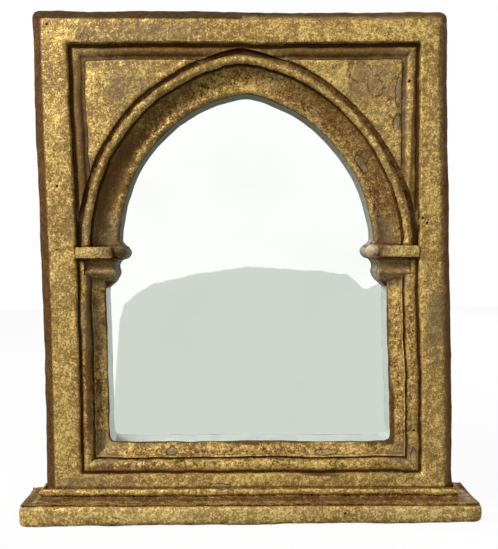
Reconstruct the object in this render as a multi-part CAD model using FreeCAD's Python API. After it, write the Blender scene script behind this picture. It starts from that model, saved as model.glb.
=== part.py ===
import FreeCAD, Part
import math
import os
from FreeCAD import Vector

# Arched mirror in a gilt wooden frame, standing on a moulded plinth.
# Millimetres, +Z up, the front looks towards -Y, the origin lies under the middle of the plinth.
# A depth is measured backwards from the flat front of the stiles.

# Whole frame
frame_height = 308.0
body_width = 250.0
edge_bevel_width = 7.0
edge_bevel_depth = 8.0
face_corner_radius = 2.5
back_corner_radius = 5.0

# Stiles and rails with their tenons
stile_face_width = 15.5
stile_face_width_top = 12.8
top_rail_face = 13.7
bottom_rail_face = 8.4
tenon_length = 14.0
tenon_thickness = 6.0
tenon_depth = 10.0
tenon_shoulder = 2.8
tenon_end_gap = 0.5

# Plinth and the moulding that runs round three sides of the body on top of it
plinth_height = 12.0
plinth_projection = 13.2
plinth_back_projection = 5.0
plinth_round = 2.4
plinth_corner_round = 4.0
base_moulding_height = 9.0
base_moulding_projection = 11.4
base_fillet_height = 1.4
base_roll_height = 4.2
base_roll_projection = 4.2
base_roll_foot = 2.4
base_cove_sag_share = 0.20

# Mirror seat and what is laid into it from behind
seat_depth = 19.5
glass_thickness = 3.0
guard_sheet_thickness = 0.6
back_panel_thickness = 5.1
back_panel_sunk = 0.3
glass_side_clearance = 1.0
glass_top_clearance = 2.0

# Moulding strips beside and under the glass
jamb_groove_width = 1.9
jamb_groove_depth = 5.0
jamb_bead_width = 5.5
jamb_bead_depth = 2.0
jamb_quirk_width = 1.4
jamb_quirk_depth = 5.8
jamb_cove_width = 7.8
jamb_cove_depth = 4.4
jamb_lip_width = 2.2
jamb_lip_depth = 13.4
cove_sag_share = 0.16
lip_rise_share = 0.30

# Spandrels and the bead strips let in round them
spandrel_field_depth = 4.0
strip_bed_depth = 7.2
spandrel_groove_width = 2.6
spandrel_groove_depth = 5.8
spandrel_bead_width = 4.6
spandrel_bead_depth = 2.6
spandrel_inner_groove_width = 2.4

# Pointed arch, sprung from the capitals
arch_rise = 121.9
hood_apex_gap = 2.4
archivolt_width = 15.8
archivolt_quirk_width = 2.0
archivolt_quirk_depth = 6.4
archivolt_cove_depth = 5.0
archivolt_lip_width = 3.2
archivolt_lip_depth = 10.2
hood_roll_width = 4.5
hood_roll_depth = 0.8
hood_roll_foot_depth = 5.0
hood_channel_width = 3.0
hood_channel_depth = 5.8
glue_line = 0.1

# Capitals
abacus_height = 7.0
abacus_overhang = 6.6
abacus_proud = 1.0
abacus_inner_round = 4.0
abacus_outer_round = 1.5
abacus_edge_round = 1.0
neck_height = 18.6
neck_outer_inset = 4.2
neck_top_inset = 2.6
neck_top_depth = 0.4
neck_inset = 7.4
neck_depth = 2.4
astragal_bulge = 1.1
neck_cavetto_share = 0.34
neck_astragal_top_share = 0.38
neck_astragal_foot_share = 0.53
neck_taper_share = 0.58
neck_cavetto_sag_share = 0.16

# Brads that pin the planted strips to the spandrels
brad_radius = 0.8
brad_length = 9.0
brad_sink = 2.0
side_brad_shares = (0.40, 0.86)
top_brad_shares = (0.28, 0.74)
hood_brad_shares = (0.20, 0.55, 0.85)

# Wood screws
screw_head_height = 1.8
screw_head_round = 0.7
screw_slot_width = 0.8
screw_slot_depth = 0.8
screw_tip_length = 3.0
small_screw_head_radius = 3.0
small_screw_shank_radius = 1.4
small_screw_length = 14.0
plinth_screw_head_radius = 4.0
plinth_screw_shank_radius = 1.9
plinth_screw_length = 22.0
plinth_screw_counterbore = 2.6
plinth_screw_shares = (-0.62, 0.0, 0.62)

# Turn buttons that hold the back panel
button_width = 9.0
button_reach = 14.0
button_thickness = 1.6
button_lift = 0.3
button_pivot_inset = 7.0
button_height_shares = (0.17, 0.62)
running_fit = 0.06

# Strap hangers with their rings
hanger_height_share = 0.88
strap_width = 11.0
strap_length = 30.0
strap_thickness = 1.2
strap_round = 2.5
barrel_length = 8.0
barrel_radius = 2.8
ring_wire_radius = 1.2
ring_half_width = 7.5
ring_corner_radius = 2.5
ring_leg = 3.6
strap_screw_shares = (0.62, 0.87)

# One overrun serves every cut
overrun = 2.0

# Sizes that follow from those above
frame_depth = (seat_depth + glass_thickness + guard_sheet_thickness
               + back_panel_thickness + back_panel_sunk)
plinth_depth = plinth_projection + frame_depth + plinth_back_projection
plinth_back_y = plinth_depth / 2
face_y = plinth_projection - plinth_back_y
back_y = face_y + frame_depth
body_half = body_width / 2
face_half = body_half - edge_bevel_width
stile_inner = face_half - stile_face_width
stile_inner_top = face_half - stile_face_width_top
face_top = frame_height - edge_bevel_width
rail_under = face_top - top_rail_face
springing_height = rail_under - arch_rise
base_top = plinth_height + base_moulding_height
sill_foot = base_top + bottom_rail_face
jamb_strip_width = jamb_groove_width + jamb_bead_width + jamb_quirk_width
jamb_width = jamb_strip_width + jamb_cove_width
sight_half = stile_inner - jamb_width
spandrel_strip_width = spandrel_groove_width + spandrel_bead_width + spandrel_inner_groove_width
hood_width = hood_roll_width + hood_channel_width
arch_band_total = archivolt_width + hood_width
arch_half_span = stile_inner - arch_band_total
hood_rise = arch_rise - hood_apex_gap
sight_radius = ((hood_rise ** 2 + arch_half_span ** 2 - arch_band_total ** 2)
                / (2 * (arch_band_total + arch_half_span)))
arch_centre = sight_radius - arch_half_span
archivolt_radius = sight_radius + archivolt_width
hood_radius = archivolt_radius + hood_width
abacus_foot = springing_height - abacus_height
abacus_inner = arch_half_span - abacus_overhang
neck_foot = abacus_foot - neck_height
rebate_height = rail_under - sill_foot
hanger_z = sill_foot + rebate_height * hanger_height_share
stile_middle = (stile_inner + body_half) / 2
half_turn = 180.0

nodes = {}


def at_depth(depth):
    return face_y + depth


def box_between(x0, x1, y0, y1, z0, z1):
    return Part.makeBox(x1 - x0, y1 - y0, z1 - z0, Vector(x0, y0, z0))


def wire_from(points, place):
    """Closed wire; a point of four values is reached by an arc through its last two."""
    edges = []
    here = place(*points[0][:2])
    for point in points[1:] + points[:1]:
        there = place(*point[:2])
        if len(point) == 4:
            edges.append(Part.Arc(here, place(*point[2:]), there).toShape())
        elif not here.isEqual(there, 0):
            edges.append(Part.makeLine(here, there))
        here = there
    return Part.Wire(edges)


def face_from(points, place):
    return Part.Face(wire_from(points, place))


def in_front_view(y):
    """Places (x, z) in an upright plane."""
    return lambda x, z: Vector(x, y, z)


def prism(points, depth0, depth1):
    """Front-view outline between two depths."""
    face = face_from(points, in_front_view(at_depth(depth0)))
    return face.extrude(Vector(0, depth1 - depth0, 0))


def bowed(start, end, share):
    """Arc step to the end point, bowed to the left of the chord by a share of its length."""
    du = end[0] - start[0]
    dv = end[1] - start[1]
    via = ((start[0] + end[0]) / 2 - dv * share, (start[1] + end[1]) / 2 + du * share)
    return end + via


def mirrored(shape):
    return shape.mirror(Vector(0, 0, 0), Vector(1, 0, 0))


def cylinder_y(x, z, radius, depth0, depth1):
    return Part.makeCylinder(radius, depth1 - depth0, Vector(x, at_depth(depth0), z), Vector(0, 1, 0))


def add_pair(name, left):
    nodes[name + "_left"] = left
    nodes[name + "_right"] = mirrored(left)


def rim_wire(half, top, radius, depth):
    """Outline of the body at one depth, with its two upper corners rounded."""
    nick = radius * (1 - math.sqrt(0.5))
    points = [
        (-half, plinth_height),
        (-half, top - radius),
        (-half + radius, top, -half + nick, top - nick),
        (half - radius, top),
        (half, top - radius, half - nick, top - nick),
        (half, plinth_height),
    ]
    return wire_from(points, in_front_view(at_depth(depth)))


def frame_body():
    """Whole outer block with bevelled sides and top, before it is split into members."""
    front = rim_wire(face_half, face_top, face_corner_radius, 0)
    behind = rim_wire(body_half, frame_height, back_corner_radius, edge_bevel_depth)
    bevelled = Part.makeLoft([front, behind], True, True)
    straight = Part.Face(behind).extrude(Vector(0, frame_depth - edge_bevel_depth, 0))
    foot = box_between(-body_half, body_half, face_y, back_y, plinth_height, base_top)
    return bevelled.fuse([straight, foot]).removeSplitter()


def tenon(foot, top, end_gap):
    """Left tenon of a rail; the mortise is the same box with a gap at its end."""
    return box_between(-stile_inner - tenon_length - end_gap, -stile_inner,
                       at_depth(tenon_depth), at_depth(tenon_depth + tenon_thickness),
                       foot + tenon_shoulder, top - tenon_shoulder)


def build_members():
    body = frame_body()
    stile = body.common(box_between(-body_half, -stile_inner, face_y, back_y, plinth_height, frame_height))
    rails = (("rail_top", rail_under, face_top), ("rail_bottom", plinth_height, sill_foot))
    for name, foot, top in rails:
        stile = stile.cut(tenon(foot, top, tenon_end_gap))
        rail_top_edge = frame_height if name == "rail_top" else top
        rail = body.common(box_between(-stile_inner, stile_inner, face_y, back_y, foot, rail_top_edge))
        left_tenon = tenon(foot, top, 0)
        nodes[name] = rail.fuse([left_tenon, mirrored(left_tenon)]).removeSplitter()
    bead_housing = prism([(-stile_inner, springing_height), (-stile_inner_top, rail_under),
                          (-stile_inner, rail_under)], 0, strip_bed_depth)
    add_pair("stile", stile.cut(bead_housing))


def jamb_bead_profile():
    """Groove, bead and quirk, as (distance in from the stile, depth)."""
    bead_end = jamb_groove_width + jamb_bead_width
    return [
        (0, seat_depth),
        (0, jamb_groove_depth),
        (jamb_groove_width, jamb_groove_depth),
        (bead_end, jamb_groove_depth, jamb_groove_width + jamb_bead_width / 2, jamb_bead_depth),
        (bead_end, jamb_quirk_depth),
        (jamb_strip_width, jamb_quirk_depth),
        (jamb_strip_width, seat_depth),
    ]


def cove_profile(quirk, quirk_depth, start_depth, width, lip, lip_depth):
    """Quirk, cove and rounded lip, as (distance in, depth)."""
    cove_start = (quirk, start_depth)
    cove_end = (width - lip, lip_depth)
    wall_top = lip_depth + lip * lip_rise_share
    lip_crown = (width - lip * lip_rise_share, lip_depth + lip * lip_rise_share ** 2)
    points = [(0, seat_depth)]
    if quirk:
        points += [(0, quirk_depth), (quirk, quirk_depth)]
    points += [
        cove_start,
        bowed(cove_start, cove_end, cove_sag_share),
        (width, wall_top) + lip_crown,
        (width, seat_depth),
    ]
    return points


def build_jambs_and_sill():
    """Straight strips round the lower part of the glass, mitred where they meet."""
    profiles = (
        ("bead", 0, jamb_strip_width, abacus_foot, jamb_bead_profile()),
        ("cove", jamb_strip_width, jamb_width, neck_foot,
         cove_profile(0, 0, jamb_cove_depth, jamb_cove_width, jamb_lip_width, jamb_lip_depth)),
    )
    for name, outer, inner, top, profile in profiles:
        upright = face_from(profile, lambda u, d: Vector(-stile_inner + outer + u, at_depth(d), sill_foot))
        upright = upright.extrude(Vector(0, 0, top - sill_foot))
        jamb_region = prism([
            (-stile_inner + outer, sill_foot + outer),
            (-stile_inner + outer, top),
            (-stile_inner + inner, top),
            (-stile_inner + inner, sill_foot + inner),
        ], 0, seat_depth)
        add_pair("jamb_" + name, upright.common(jamb_region))
        level = face_from(profile, lambda u, d: Vector(-stile_inner, at_depth(d), sill_foot + outer + u))
        level = level.extrude(Vector(2 * stile_inner, 0, 0))
        sill_region = prism([
            (-stile_inner + outer, sill_foot + outer),
            (-stile_inner + inner, sill_foot + inner),
            (stile_inner - inner, sill_foot + inner),
            (stile_inner - outer, sill_foot + outer),
        ], 0, seat_depth)
        nodes["sill_" + name] = level.common(sill_region)


def arch_ring(profile, outer_radius):
    """Left half of a ring round the arch, from a profile of (distance in from the outer radius, depth)."""
    start = arch_centre - outer_radius
    face = face_from(profile, lambda u, d: Vector(start + u, at_depth(d), springing_height))
    ring = face.revolve(Vector(arch_centre, 0, springing_height), Vector(0, 1, 0), half_turn)
    left_half = box_between(-body_half, 0, face_y - overrun, back_y, springing_height, frame_height)
    return ring.common(left_half)


def arch_disc(radius, depth0, depth1):
    """Round tool about the centre of the left half of the arch."""
    return cylinder_y(arch_centre, springing_height, radius, depth0, depth1)


def hood_profile():
    """Channel and roll, as (distance in from the outer radius, depth)."""
    return [
        (0, strip_bed_depth),
        (0, hood_channel_depth),
        (hood_channel_width, hood_channel_depth),
        (hood_channel_width, hood_roll_foot_depth),
        (hood_width, hood_roll_foot_depth, hood_channel_width + hood_roll_width / 2, hood_roll_depth),
        (hood_width, strip_bed_depth),
    ]


def spandrel_bead_profile():
    """Groove, bead and groove, as (distance in from the stile or rail, depth)."""
    bead_end = spandrel_groove_width + spandrel_bead_width
    return [
        (0, strip_bed_depth),
        (0, spandrel_groove_depth),
        (spandrel_groove_width, spandrel_groove_depth),
        (bead_end, spandrel_groove_depth,
         spandrel_groove_width + spandrel_bead_width / 2, spandrel_bead_depth),
        (spandrel_strip_width, spandrel_groove_depth),
        (spandrel_strip_width, strip_bed_depth),
    ]


def side_edge_x(z, inset):
    """Left edge of the spandrel at a height, moved in; it leans because the stile narrows upwards."""
    share = (z - springing_height) / arch_rise
    return -(stile_inner + (stile_inner_top - stile_inner) * share) + inset


def build_spandrels():
    inset = spandrel_strip_width
    bed = prism([(-stile_inner, springing_height), (-stile_inner, rail_under),
                 (0, rail_under), (0, springing_height)], strip_bed_depth, seat_depth)
    bed = bed.cut(arch_disc(archivolt_radius, 0, frame_depth))
    field = prism([
        (side_edge_x(springing_height, inset), springing_height),
        (side_edge_x(rail_under - inset, inset), rail_under - inset),
        (0, rail_under - inset),
        (0, springing_height),
    ], spandrel_field_depth, strip_bed_depth)
    field = field.cut(arch_disc(hood_radius, 0, frame_depth))
    board = bed.fuse(field).removeSplitter()

    profile = spandrel_bead_profile()
    lean = math.degrees(math.atan2(stile_inner_top - stile_inner, arch_rise))
    side = face_from(profile, lambda u, d: Vector(-stile_inner + u, at_depth(d), springing_height - overrun))
    side = side.extrude(Vector(0, 0, arch_rise + 2 * overrun))
    side.rotate(Vector(-stile_inner, 0, springing_height), Vector(0, 1, 0), -lean)
    corner = (side_edge_x(rail_under, 0), rail_under)
    inner_corner = (side_edge_x(rail_under - inset, inset), rail_under - inset)
    side_region = prism([
        (side_edge_x(springing_height, 0), springing_height),
        corner,
        inner_corner,
        (side_edge_x(springing_height, inset), springing_height),
    ], 0, seat_depth)
    side = side.common(side_region).cut(arch_disc(hood_radius + glue_line, 0, frame_depth))
    top = face_from(profile, lambda u, d: Vector(-body_half, at_depth(d), rail_under - u))
    top = top.extrude(Vector(body_half, 0, 0))
    top_region = prism([corner, (0, rail_under), (0, rail_under - inset), inner_corner], 0, seat_depth)
    top = top.common(top_region).cut(arch_disc(hood_radius + glue_line, 0, frame_depth))

    crown = spandrel_groove_width + spandrel_bead_width / 2
    side_brads = []
    for share in side_brad_shares:
        z = springing_height + arch_rise * share
        side_brads.append((side_edge_x(z, crown), z, spandrel_bead_depth))
    crown_z = rail_under - crown
    hood_chord = math.sqrt(max(hood_radius ** 2 - (crown_z - springing_height) ** 2, arch_centre ** 2))
    strip_start = corner[0]
    strip_end = arch_centre - hood_chord
    top_brads = []
    for share in top_brad_shares:
        x = strip_start + (strip_end - strip_start) * share
        top_brads.append((x, crown_z, spandrel_bead_depth))
    roll_radius = archivolt_radius + hood_roll_width / 2
    apex_angle = math.acos(arch_centre / roll_radius)
    hood_brads = []
    for share in hood_brad_shares:
        angle = apex_angle * share
        hood_brads.append((arch_centre - roll_radius * math.cos(angle),
                           springing_height + roll_radius * math.sin(angle), hood_roll_depth))

    hood = arch_ring(hood_profile(), hood_radius)
    archivolt = arch_ring(
        cove_profile(archivolt_quirk_width, archivolt_quirk_depth, archivolt_cove_depth,
                     archivolt_width - glue_line, archivolt_lip_width, archivolt_lip_depth),
        archivolt_radius - glue_line)

    brads = []
    pinned = {"side": (side, side_brads), "top": (top, top_brads), "hood": (hood, hood_brads)}
    strips = {}
    for name, (strip, places) in pinned.items():
        for x, z, surface in places:
            head = surface + brad_sink
            hole = cylinder_y(x, z, brad_radius, surface - overrun, head + brad_length)
            strip = strip.cut(hole)
            board = board.cut(hole)
            brads.append(cylinder_y(x, z, brad_radius, head, head + brad_length))
        strips[name] = strip
    add_pair("spandrel", board)
    add_pair("spandrel_bead_side", strips["side"])
    add_pair("spandrel_bead_top", strips["top"])
    add_pair("hood_roll", strips["hood"])
    add_pair("archivolt", archivolt)
    nodes["moulding_brads"] = Part.makeCompound(brads + [mirrored(brad) for brad in brads])


def build_capitals():
    abacus = box_between(-stile_inner, -abacus_inner, at_depth(-abacus_proud), at_depth(seat_depth),
                         abacus_foot, springing_height)
    front = at_depth(-abacus_proud)

    def upright_edges(x):
        return [edge for edge in abacus.Edges
                if all(abs(v.X - x) < abacus_edge_round and abs(v.Y - front) < abacus_edge_round
                       for v in edge.Vertexes)]

    abacus = abacus.makeFillet(abacus_inner_round, upright_edges(-abacus_inner))
    abacus = abacus.makeFillet(abacus_outer_round, upright_edges(-stile_inner))
    level_edges = [edge for edge in abacus.Edges
                   if edge.BoundBox.ZLength < abacus_edge_round
                   and edge.BoundBox.YMin < front + abacus_edge_round]
    abacus = abacus.makeFillet(abacus_edge_round, level_edges)
    add_pair("abacus", abacus)

    def neck_outline(far, top_in, neck_in, foot_in):
        """One moulded side of the neck, from a far side to inward distances at its levels."""
        top = (top_in, abacus_foot)
        cavetto = (neck_in, abacus_foot - neck_height * neck_cavetto_share)
        astragal_top = (neck_in, abacus_foot - neck_height * neck_astragal_top_share)
        astragal_foot = (neck_in, abacus_foot - neck_height * neck_astragal_foot_share)
        bulge = (neck_in - astragal_bulge, (astragal_top[1] + astragal_foot[1]) / 2)
        return [
            (far, abacus_foot),
            top,
            bowed(top, cavetto, neck_cavetto_sag_share),
            astragal_top,
            astragal_foot + bulge,
            (neck_in, abacus_foot - neck_height * neck_taper_share),
            (foot_in, neck_foot),
            (far, neck_foot),
        ]

    side_points = neck_outline(stile_inner - neck_outer_inset, abacus_inner + neck_top_inset,
                               abacus_inner + neck_inset, sight_half)
    side = face_from(side_points, lambda x, z: Vector(-x, at_depth(0), z)).extrude(Vector(0, seat_depth, 0))
    front_points = neck_outline(seat_depth, neck_top_depth, neck_depth, neck_depth)
    front_face = face_from(front_points, lambda d, z: Vector(-stile_inner, at_depth(d), z))
    neck = side.common(front_face.extrude(Vector(stile_inner, 0, 0)))
    add_pair("capital_neck", neck)
    add_pair("jamb_bead", nodes["jamb_bead_left"].cut(neck))


def base_profile():
    """Fillet, cove and roll, as (projection, height)."""
    roll_foot_z = base_top - base_roll_height
    fillet_top = (base_moulding_projection, plinth_height + base_fillet_height)
    cove_end = (base_roll_foot, roll_foot_z)
    return [
        (0, plinth_height),
        (base_moulding_projection, plinth_height),
        fillet_top,
        bowed(fillet_top, cove_end, base_cove_sag_share),
        (base_roll_foot, base_top, base_roll_projection, (roll_foot_z + base_top) / 2),
        (0, base_top),
    ]


def build_base(screw_holes):
    reach = body_half + plinth_projection
    plinth = box_between(-reach, reach, -plinth_back_y, plinth_back_y, 0, plinth_height)
    upright = [edge for edge in plinth.Edges
               if edge.BoundBox.ZLength > plinth_round and edge.BoundBox.YMax < face_y]
    plinth = plinth.makeFillet(plinth_corner_round, upright)
    level = [edge for edge in plinth.Edges
             if edge.BoundBox.ZLength < plinth_round and edge.BoundBox.YMin < plinth_back_y - plinth_round]
    plinth = plinth.makeFillet(plinth_round, level)
    for hole in screw_holes:
        plinth = plinth.cut(hole)
    nodes["plinth"] = plinth

    project = base_moulding_projection
    profile = base_profile()
    front = face_from(profile, lambda p, z: Vector(-body_half - project, face_y - p, z))
    front = front.extrude(Vector(2 * (body_half + project), 0, 0))
    mitre = [(-body_half, face_y), (-body_half - project, face_y - project),
             (body_half + project, face_y - project), (body_half, face_y)]
    front_region = face_from(mitre, lambda x, y: Vector(x, y, plinth_height))
    front_region = front_region.extrude(Vector(0, 0, base_moulding_height))
    nodes["base_moulding_front"] = front.common(front_region)
    side = face_from(profile, lambda p, z: Vector(-body_half - p, face_y - project, z))
    side = side.extrude(Vector(0, frame_depth + project, 0))
    side_plan = [(-body_half, face_y), (-body_half, back_y),
                 (-body_half - project, back_y), (-body_half - project, face_y - project)]
    side_region = face_from(side_plan, lambda x, y: Vector(x, y, plinth_height))
    side_region = side_region.extrude(Vector(0, 0, base_moulding_height))
    add_pair("base_moulding", side.common(side_region))


def wood_screw(at, direction, head_radius, shank_radius, length):
    """Round-headed slotted screw; the place is under its head, the direction runs into the wood."""
    head = Part.makeCylinder(head_radius, screw_head_height, Vector(0, 0, -screw_head_height))
    rim = [edge for edge in head.Edges if edge.BoundBox.ZMax < -screw_head_round and edge.Closed]
    head = head.makeFillet(screw_head_round, rim)
    slot = box_between(-head_radius, head_radius, -screw_slot_width / 2, screw_slot_width / 2,
                       -screw_head_height, -screw_head_height + screw_slot_depth)
    shank = Part.makeCylinder(shank_radius, length - screw_tip_length)
    tip = Part.makeCone(shank_radius, 0, screw_tip_length, Vector(0, 0, length - screw_tip_length))
    screw = head.cut(slot).fuse([shank, tip]).removeSplitter()
    screw.Placement = FreeCAD.Placement(at, FreeCAD.Rotation(Vector(0, 0, 1), direction))
    return screw


def build_glass_and_back():
    half = stile_inner - glass_side_clearance
    depth = seat_depth
    layers = (("mirror_glass", glass_thickness), ("guard_sheet", guard_sheet_thickness),
              ("back_panel", back_panel_thickness))
    for name, thickness in layers:
        nodes[name] = box_between(-half, half, at_depth(depth), at_depth(depth + thickness),
                                  sill_foot, rail_under - glass_top_clearance)
        depth += thickness


def build_turn_buttons():
    """Round-ended plates that turn on screws in the stiles; one end reaches over the panel."""
    pivot_x = stile_inner + button_pivot_inset
    near_y = back_y + button_lift
    half = button_width / 2
    into_stile = Vector(0, -1, 0)
    screws = []
    for level, share in zip(("lower", "upper"), button_height_shares):
        z = sill_foot + rebate_height * share
        tail_x = -pivot_x - button_reach + half
        nose_x = -pivot_x + button_reach - half
        plate = face_from([
            (tail_x, z - half, tail_x - half, z),
            (nose_x, z - half),
            (nose_x, z + half, nose_x + half, z),
            (tail_x, z + half),
        ], in_front_view(near_y)).extrude(Vector(0, button_thickness, 0))
        bore = Part.makeCylinder(small_screw_shank_radius + running_fit, button_thickness,
                                 Vector(-pivot_x, near_y, z), Vector(0, 1, 0))
        add_pair("turn_button_" + level, plate.cut(bore))
        under_head = Vector(-pivot_x, near_y + button_thickness + button_lift, z)
        screws.append(wood_screw(under_head, into_stile, small_screw_head_radius,
                                 small_screw_shank_radius, small_screw_length))
    nodes["turn_button_screws"] = Part.makeCompound(screws + [mirrored(screw) for screw in screws])
    return screws


def build_hangers():
    """Strap with a rolled barrel at its head, and a ring whose straight bar turns in the barrel."""
    axis_y = back_y + barrel_radius
    x = -stile_middle
    foot = hanger_z - strap_length
    half = strap_width / 2
    plate = box_between(x - half, x + half, back_y, back_y + strap_thickness, foot, hanger_z - barrel_radius)
    lower = [edge for edge in plate.Edges
             if edge.BoundBox.ZMax < foot + strap_round and edge.BoundBox.XLength < strap_round]
    lower = [edge for edge in lower if edge.BoundBox.YLength > strap_thickness / 2]
    plate = plate.makeFillet(strap_round, lower)
    neck = box_between(x - barrel_length / 2, x + barrel_length / 2, back_y, back_y + strap_thickness,
                       hanger_z - barrel_radius, hanger_z)
    along = Vector(1, 0, 0)
    barrel_start = Vector(x - barrel_length / 2, axis_y, hanger_z)
    barrel = Part.makeCylinder(barrel_radius, barrel_length, barrel_start, along)
    bore = Part.makeCylinder(ring_wire_radius + running_fit, barrel_length, barrel_start, along)
    strap = plate.fuse([neck, barrel]).removeSplitter().cut(bore)

    into_stile = Vector(0, -1, 0)
    screws = []
    for share in strap_screw_shares:
        at = Vector(x, back_y + strap_thickness, hanger_z - strap_length * share)
        screw = wood_screw(at, into_stile, small_screw_head_radius,
                           small_screw_shank_radius, small_screw_length)
        strap = strap.cut(screw)
        screws.append(screw)
    add_pair("hanger_strap", strap)
    nodes["hanger_screws"] = Part.makeCompound(screws + [mirrored(screw) for screw in screws])

    left = x - ring_half_width
    right = x + ring_half_width
    turn = ring_corner_radius
    nick = turn * (1 - math.sqrt(0.5))
    leg_foot = hanger_z - ring_leg
    path = wire_from([
        (left + turn, hanger_z),
        (right - turn, hanger_z),
        (right, hanger_z - turn, right - nick, hanger_z - nick),
        (right, leg_foot),
        (left, leg_foot, x, leg_foot - ring_half_width),
        (left, hanger_z - turn),
        (left + turn, hanger_z, left + nick, hanger_z - nick),
    ], in_front_view(axis_y))
    section = Part.Wire(Part.makeCircle(ring_wire_radius, Vector(left + turn, axis_y, hanger_z), along))
    add_pair("hanger_ring", path.makePipeShell([section], True, False))
    return screws


def main():
    os.makedirs("parts", exist_ok=True)
    build_members()
    build_jambs_and_sill()
    build_spandrels()
    build_capitals()
    build_glass_and_back()

    rail_middle_y = (face_y + back_y) / 2
    plinth_screws = []
    screw_holes = []
    for share in plinth_screw_shares:
        at = Vector(stile_inner * share, rail_middle_y, plinth_screw_counterbore)
        screw = wood_screw(at, Vector(0, 0, 1), plinth_screw_head_radius,
                           plinth_screw_shank_radius, plinth_screw_length)
        plinth_screws.append(screw)
        sink = Part.makeCylinder(plinth_screw_head_radius, plinth_screw_counterbore, Vector(at.x, at.y, 0))
        screw_holes.append(sink.fuse(screw))
        nodes["rail_bottom"] = nodes["rail_bottom"].cut(screw)
    nodes["plinth_screws"] = Part.makeCompound(plinth_screws)
    build_base(screw_holes)

    for screw in build_turn_buttons() + build_hangers():
        nodes["stile_left"] = nodes["stile_left"].cut(screw)
        nodes["stile_right"] = nodes["stile_right"].cut(mirrored(screw))

    for name, shape in nodes.items():
        shape.exportStep("parts/" + name + ".step")


main()
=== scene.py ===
"""Looks of the arched mirror: an aged gilt frame with a pointed arch round a looking glass."""
import logging
import math
from dataclasses import dataclass
from enum import Enum
from typing import Any, Callable, Sequence

import bmesh
import bpy
import numpy as np
from mathutils import Matrix, Vector


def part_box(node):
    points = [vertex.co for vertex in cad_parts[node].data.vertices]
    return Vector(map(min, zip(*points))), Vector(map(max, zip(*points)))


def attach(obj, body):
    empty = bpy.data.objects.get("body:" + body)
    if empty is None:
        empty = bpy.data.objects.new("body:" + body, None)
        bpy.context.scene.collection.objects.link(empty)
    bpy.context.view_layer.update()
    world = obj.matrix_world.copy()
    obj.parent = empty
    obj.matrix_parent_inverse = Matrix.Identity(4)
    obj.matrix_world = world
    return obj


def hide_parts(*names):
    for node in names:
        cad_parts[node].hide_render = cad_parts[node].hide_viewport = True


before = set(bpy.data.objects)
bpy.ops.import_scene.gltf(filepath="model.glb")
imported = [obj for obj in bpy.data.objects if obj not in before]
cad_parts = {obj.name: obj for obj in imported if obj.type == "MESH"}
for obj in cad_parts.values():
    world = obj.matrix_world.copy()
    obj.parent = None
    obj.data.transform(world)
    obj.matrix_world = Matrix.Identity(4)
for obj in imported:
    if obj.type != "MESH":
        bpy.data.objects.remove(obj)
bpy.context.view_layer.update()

LOG = logging.getLogger("arched_mirror")
MM = 0.001
BODY = "frame"

# Limits of the modelling steps: lengths, angles in radians, a cosine, a share and a count
TOUCH = 0.01 * MM
NEAR = 0.1 * MM
KERF = 0.001 * MM
TINY = 1e-6 * MM
SHARP = 0.4
STRAIGHT = 0.5
PARALLEL = 0.999
WORN_SHARE = 0.4
HOLE_FACETS = 16

Pair = tuple[float, float]
Limits = tuple[float, float, float, float]
Colour = tuple[int, int, int]
Piece = bpy.types.Object
Material = bpy.types.Material
Socket = bpy.types.NodeSocket
Placer = Callable[[float, float], Vector]


class Side(Enum):
    """The two hands of a paired piece, as seen from the front."""

    LEFT = -1
    RIGHT = 1

    @property
    def word(self) -> str:
        """Ending of the piece's name."""
        return self.name.lower()


class Slot(Enum):
    """Material slots of the record."""

    GILDED = "gilded_wood"
    BACK = "back_wood"
    CARD = "guard_card"
    MIRROR = "mirror"
    BRASS = "brass"
    STEEL = "steel"


# Modelling steps


def deselect() -> None:
    """Goes to object mode with nothing selected."""
    if bpy.context.mode != "OBJECT":
        bpy.ops.object.mode_set(mode="OBJECT")
    bpy.ops.object.select_all(action="DESELECT")


def take(piece: Piece) -> None:
    """Makes one piece the only selected and active one.

    Args:
        piece: The piece to take.
    """
    deselect()
    piece.select_set(True)
    bpy.context.view_layer.objects.active = piece


def edit(piece: Piece) -> None:
    """Opens a piece in edit mode with all of it selected.

    Args:
        piece: The piece to open.
    """
    take(piece)
    bpy.ops.object.mode_set(mode="EDIT")
    bpy.ops.mesh.select_all(action="SELECT")


def named(name: str) -> Piece:
    """Names the new primitive and hands it back.

    Args:
        name: Its name.

    Returns:
        The primitive.
    """
    piece = bpy.context.active_object
    piece.name = name
    piece.data.name = name
    return piece


def pick(kind: str, test: Callable[[Any], bool]) -> None:
    """Selects vertices, edges or faces of the open piece.

    Args:
        kind: VERT, EDGE or FACE.
        test: Says whether an element is taken.
    """
    bpy.ops.mesh.select_mode(type=kind)
    bpy.ops.mesh.select_all(action="DESELECT")
    data = bpy.context.edit_object.data
    mesh = bmesh.from_edit_mesh(data)
    elements = {"VERT": mesh.verts, "EDGE": mesh.edges, "FACE": mesh.faces}[kind]
    for element in elements:
        if test(element):
            element.select_set(True)
    mesh.select_flush_mode()
    bmesh.update_edit_mesh(data)


def shift(value: Sequence[float]) -> None:
    """Moves what is selected."""
    bpy.ops.transform.translate(value=tuple(value))


def draw_out(value: Sequence[float]) -> None:
    """Extrudes the selected region by a vector."""
    bpy.ops.mesh.extrude_region_move(TRANSFORM_OT_translate={"value": tuple(value)})


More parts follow.
